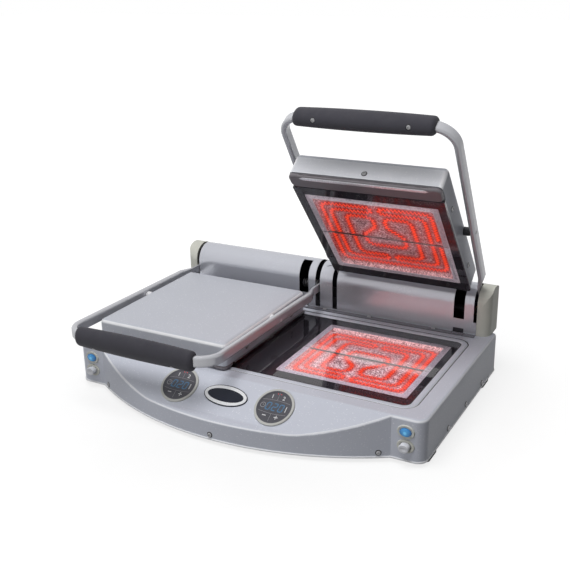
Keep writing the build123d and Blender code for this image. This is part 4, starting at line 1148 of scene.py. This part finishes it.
def printed_disc(side, x):
    """The print, lit digits and border of one touch panel."""
    r = panel_radius
    low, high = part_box("control_panels")
    lean = Matrix.Rotation(math.radians(apron_angle), 4, "X")
    panel_middle = Vector((x, (low.y + high.y) / 2, (low.z + high.z) / 2))
    lift = Matrix.Translation((0, 0, panel_half + ink_height / 2 - ink_sink))
    face = Matrix.Translation(panel_middle) @ lean @ lift
    band_y = 0.36 * r
    band_bow = 0.08 * r
    band_half = math.sqrt(r * r - band_y * band_y) - band_end
    lines = [
        [bowed_band(band_half, band_y, band_bow)],
        [bowed_band(band_half, -band_y, -band_bow)],
        stroke(0, 0.46, 0, 0.95),
        stroke(0, -0.46, 0, -0.95),
        [ring(0.17 * r, -0.72 * r), ring(0.14 * r, -0.72 * r)],
        stroke(-0.72, -0.01, -0.72, 0.1),
        stroke(-0.72, 0, -0.64, 0),
    ]
    legend = [
        stroke(-0.5, -0.62, -0.26, -0.62, legend_line),
        stroke(0.26, -0.62, 0.5, -0.62, legend_line),
        stroke(0.38, -0.74, 0.38, -0.67, legend_line),
        stroke(0.38, -0.57, 0.38, -0.5, legend_line),
        stroke(0.76, -0.18, 0.76, 0.18, level_line),
    ]
    digits = []
    for place, value in zip((-0.36, 0.04, 0.44), "020"):
        digits += [[outline] for outline in segment_digit(value, place * r, 0, 0.46 * r)]
    digits.append([ring(digit_point, -0.17 * r, -0.22 * r, steps=12)])
    lamps = [[ring(lamp_radius, place * r, 0.87 * r, steps=14)] for place in (-0.1, 0.1)]
    inks = {
        "lines": (lines, "line_ink"),
        "legend": (legend, "white_ink"),
        "digits": (digits, "blue_digit"),
        "lamps": (lamps, "red_lamp"),
    }
    for kind, (shapes, ink) in inks.items():
        meshes = [filled(outlines, ink_height) for outlines in shapes]
        if kind == "legend":
            meshes.append(numeral("1", 0.36 * r, -0.36 * r, 0.64 * r))
            meshes.append(numeral("2", 0.36 * r, 0.36 * r, 0.64 * r))
        mesh = joined_mesh(meshes)
        mesh.transform(face)
        as_piece(f"{side}_panel_{kind}", mesh, "base", ink)
    border = filled([ring(film_radius, steps=disc_steps), ring(film_hole, steps=disc_steps)], ink_height)
    border.transform(face @ Matrix.Translation((0, 0, panel_recess)))
    as_piece(f"{side}_panel_border", border, "base", "panel_film")


def badge():
    """The bare oval badge: a dark edge, a pale rim and a dark domed field."""
    low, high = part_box("badge_plate")
    half_x = (high.x - low.x) / 2
    lean = math.radians(apron_angle)
    half_y = ((high.y - low.y) - badge_rise * math.sin(lean)) / 2 / math.cos(lean)
    tilt = Matrix.Translation((low + high) / 2) @ Matrix.Rotation(lean, 4, "X")
    foot = tilt @ Matrix.Translation((0, 0, -badge_rise / 2))
    for kind, rows, finish in (
        ("edge", badge_edge_rows, "badge_dark"),
        ("rim", badge_rim_rows, "badge_white"),
        ("field", badge_field_rows, "badge_dark"),
    ):
        ovals = [(half_x - inset, half_y - inset, height) for inset, height in rows]
        mesh = oval_form(ovals, steps=disc_steps)
        mesh.transform(foot)
        piece = as_piece(f"badge_{kind}", mesh, "base", finish)
        if kind == "edge":
            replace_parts(piece, "badge_plate")


printed_disc("left", -control_spacing)
printed_disc("right", control_spacing)
badge()


# Bead, hem, fold, feet, rail strips and buttons
def ring_round_glass(name, rows, finish):
    """A ring that follows the glass, from (distance out, height over the deck) rows."""
    low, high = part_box("lower_glass")
    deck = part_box("base_shell")[1].z
    middle = (low + high) / 2
    loops = []
    for out, height in rows:
        width = high.x - low.x + 2 * out
        depth = high.y - low.y + 2 * out
        outline = rounded_box(width, depth, glass_corner + out, middle.x, middle.y, bead_corner_steps)
        loops.append([(x, y, deck + height) for x, y in outline])
    mesh = with_edges(skinned(loops, True), ring_edge)
    as_piece(name, mesh, "base", finish)


def tapered_bar(middle, half, taper, tip, depth, height):
    """An oval bar along X whose ends taper to a share of its section."""
    loops = []
    for place, size in ((-half, tip), (taper - half, 1.0), (half - taper, 1.0), (half, tip)):
        section = ring(size * depth, steps=bar_steps, squeeze=height / depth)
        loops.append([middle + Vector((place, y, z)) for y, z in section])
    return with_edges(skinned(loops), bar_edge)


def rail_strip(side, x, pose):
    """The raised strip along the underside of a rail."""
    low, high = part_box("left_front_rail")
    half = (high.x - low.x) / 2 - rail_strip_inset
    middle = Vector((x, low.y + rail_strip_back, low.z + rail_strip_lift))
    mesh = tapered_bar(middle, half, rail_strip_taper, rail_strip_tip, rail_strip_depth, rail_strip_height)
    mesh.transform(pose)
    as_piece(f"{side}_rail_strip", mesh, f"{side}_lid", "strip_bright")


def flange_hem():
    """The folded hem along the front of the housing's flange, darkened as painted shade."""
    low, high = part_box("hinge_cover")
    half = (high.x - low.x) / 2 - hem_inset
    middle = Vector(((low.x + high.x) / 2, low.y + hem_depth, low.z + hem_lift))
    mesh = tapered_bar(middle, half, hem_taper, hem_tip, hem_depth, hem_height)
    as_piece("flange_hem", mesh, "base", "shaded_hem_steel")


def button_front(node, rows, finish):
    """A finer oval button that faces the user, in place of a plain one."""
    low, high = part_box(node)
    middle = (low + high) / 2
    mesh = oval_form(rows)
    mesh.transform(upright(FORWARD, Vector((middle.x, low.y, middle.z))))
    piece = as_piece(f"{node}_oval", mesh, NODES[node]["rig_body"], finish)
    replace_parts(piece, node)
    return middle


def button_rings(middles):
    """The oval rings the buttons sit in."""
    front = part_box("button_bezels")[0].y + max(rise for _, _, rise in bezel_rows)
    rings = []
    for middle in middles:
        rings.append(oval_form(bezel_rows, True))
        rings[-1].transform(upright(FORWARD, Vector((middle.x, front, middle.z))))
    piece = as_piece("button_rings", joined_mesh(rings), "base", "bezel_grey")
    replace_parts(piece, "button_bezels")


def casing_outline():
    """The casing's footprint, anticlockwise: bowed front, flat corner faces, sides and back."""
    low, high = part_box("base_shell")
    bow_half = high.x - corner_face
    radius = (bow_half**2 + bow_depth**2) / (2 * bow_depth)
    sweep = math.asin(bow_half / radius)
    x = high.x - corner_radius
    y = low.y + bow_depth + corner_radius
    rear_x = high.x - rear_corner_radius
    rear_y = high.y - rear_corner_radius
    outline = arc(0, low.y + radius, radius, -quarter - sweep, 2 * sweep, bow_steps)
    outline += arc(x, y, corner_radius, -quarter, quarter, corner_steps)
    outline += arc(rear_x, rear_y, rear_corner_radius, 0, quarter, corner_steps)
    outline += arc(-rear_x, rear_y, rear_corner_radius, quarter, quarter, corner_steps)
    outline += arc(-x, y, corner_radius, 2 * quarter, quarter, corner_steps)
    return np.array(outline)


def casing_fold():
    """The folded edge round the foot of the casing, lighter as a painted highlight."""
    outline = casing_outline()
    along = np.roll(outline, -1, 0) - np.roll(outline, 1, 0)
    along /= np.linalg.norm(along, axis=1)[:, None]
    outward = np.stack([along[:, 1], -along[:, 0]], 1)
    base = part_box("base_shell")[0].z
    loops = [[(x, y, base + rise) for x, y in outline + outward * out] for out, rise in fold_rows]
    mesh = with_edges(skinned(loops, True), ring_edge)
    as_piece("casing_fold", mesh, "base", "fold_painted_highlight")


def feet():
    """Rubber pads under the corners, out to the casing's sides."""
    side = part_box("base_shell")[1].x
    pads = []
    for points in separate_solids("rubber_feet"):
        low = points.min(0)
        high = points.max(0)
        inner = min(abs(low[0]), abs(high[0]))
        middle_x = math.copysign((inner + side) / 2, low[0])
        middle_y = (low[1] + high[1]) / 2
        loops = []
        for inset, rise in foot_rows:
            width = side - inner - 2 * inset
            depth = high[1] - low[1] - 2 * inset
            outline = rounded_box(width, depth, foot_corner, middle_x, middle_y)
            loops.append([(x, y, rise) for x, y in outline])
        pads.append(with_edges(skinned(loops), foot_edge))
    piece = as_piece("rubber_pads", joined_mesh(pads), "base", "foot_rubber")
    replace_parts(piece, "rubber_feet")


ring_round_glass("glass_bead", bead_rows, "casing_silver")
ring_round_glass("glass_bead_seal", bead_seal_rows, "seal_rubber")
flange_hem()
casing_fold()
feet()
button_middles = []
for side, (x, pose) in STATIONS.items():
    rail_strip(side, x, pose)
    button_middles.append(button_front(f"{side}_lit_button", lens_rows, "lit_lens"))
    button_middles.append(button_front(f"{side}_push_button", cap_rows, "cap_grey"))
button_rings(button_middles)


# Floor, light and camera
def white_ground():
    """Pale floor that shows as the white ground of a studio and keeps the shadow."""
    nodes, shader = start_finish("studio_floor")
    mottle = nodes.spread(nodes.noise(6.0, 3.0), 0.3, 0.7)
    nodes.lead(shader, Base_Color=nodes.mix(mottle, (0.19, 0.19, 0.19), (0.21, 0.21, 0.21)), Roughness=0.9)
    away = nodes.vector("LENGTH", nodes.place())["Value"]
    whiteness = nodes.spread(away, shadow_near, shadow_far, shadow_white)
    strength = nodes.times(nodes.white_rays(), whiteness)
    own = nodes.put("Emission", {"Color": WHITE, "Strength": strength})
    both = nodes.put("AddShader", {0: shader.outputs[0], 1: own.outputs[0]})
    nodes.surface("Material Output", both)


def studio_floor():
    corners = [(sx * floor_half, sy * floor_half, 0) for sx, sy in ((-1, -1), (1, -1), (1, 1), (-1, 1))]
    mesh = mesh_of(corners, [(0, 1, 2, 3)])
    white_ground()
    mesh.materials.append(FINISHES["studio_floor"])
    floor = bpy.data.objects.new("studio_floor", mesh)
    scene.collection.objects.link(floor)


def studio_world():
    """White to the eye, to gloss and through glass, and a soft fill for the rest."""
    world = bpy.data.worlds.new("studio")
    world.use_nodes = True
    nodes = ShaderTree(world.node_tree)
    fill = world.node_tree.nodes["Background"]
    nodes.lead(fill, Color=(0.97, 0.98, 1.0), Strength=fill_strength)
    white = nodes.put("Background", {"Color": WHITE, "Strength": 1.0})
    blend = nodes.put("MixShader", {0: nodes.white_rays(), 1: fill.outputs[0], 2: white.outputs[0]})
    nodes.surface("World Output", blend)
    scene.world = world


def soft_lamp(name, place, power):
    lamp = bpy.data.lights.new(name, "AREA")
    lamp.shape = "SQUARE"
    lamp.size = lamp_size
    lamp.energy = power
    holder = bpy.data.objects.new(name, lamp)
    scene.collection.objects.link(holder)
    holder.visible_glossy = False
    holder.location = place
    holder.rotation_euler = (Vector(lamp_target) - Vector(place)).to_track_quat("-Z", "Y").to_euler()


def studio_camera():
    """The photograph's view: from the front right and a little above."""
    camera = bpy.data.cameras.new("camera")
    camera.sensor_width = sensor_width
    camera.lens = sensor_width * focal_pixels / photo_pixels
    camera.clip_start = clip_start
    holder = bpy.data.objects.new("camera", camera)
    scene.collection.objects.link(holder)
    turn = Matrix.Rotation(math.radians(view_azimuth), 4, "Z")
    turn = turn @ Matrix.Rotation(math.radians(90 - view_elevation), 4, "X")
    turn = turn @ Matrix.Rotation(math.radians(view_roll), 4, "Z")
    holder.matrix_world = Matrix.Translation(view_place) @ turn
    scene.camera = holder


studio_floor()
studio_world()
soft_lamp("key", key_place, key_power)
soft_lamp("front", front_place, front_power)
studio_camera()
scene.view_settings.view_transform = "Standard"

bpy.context.view_layer.update()
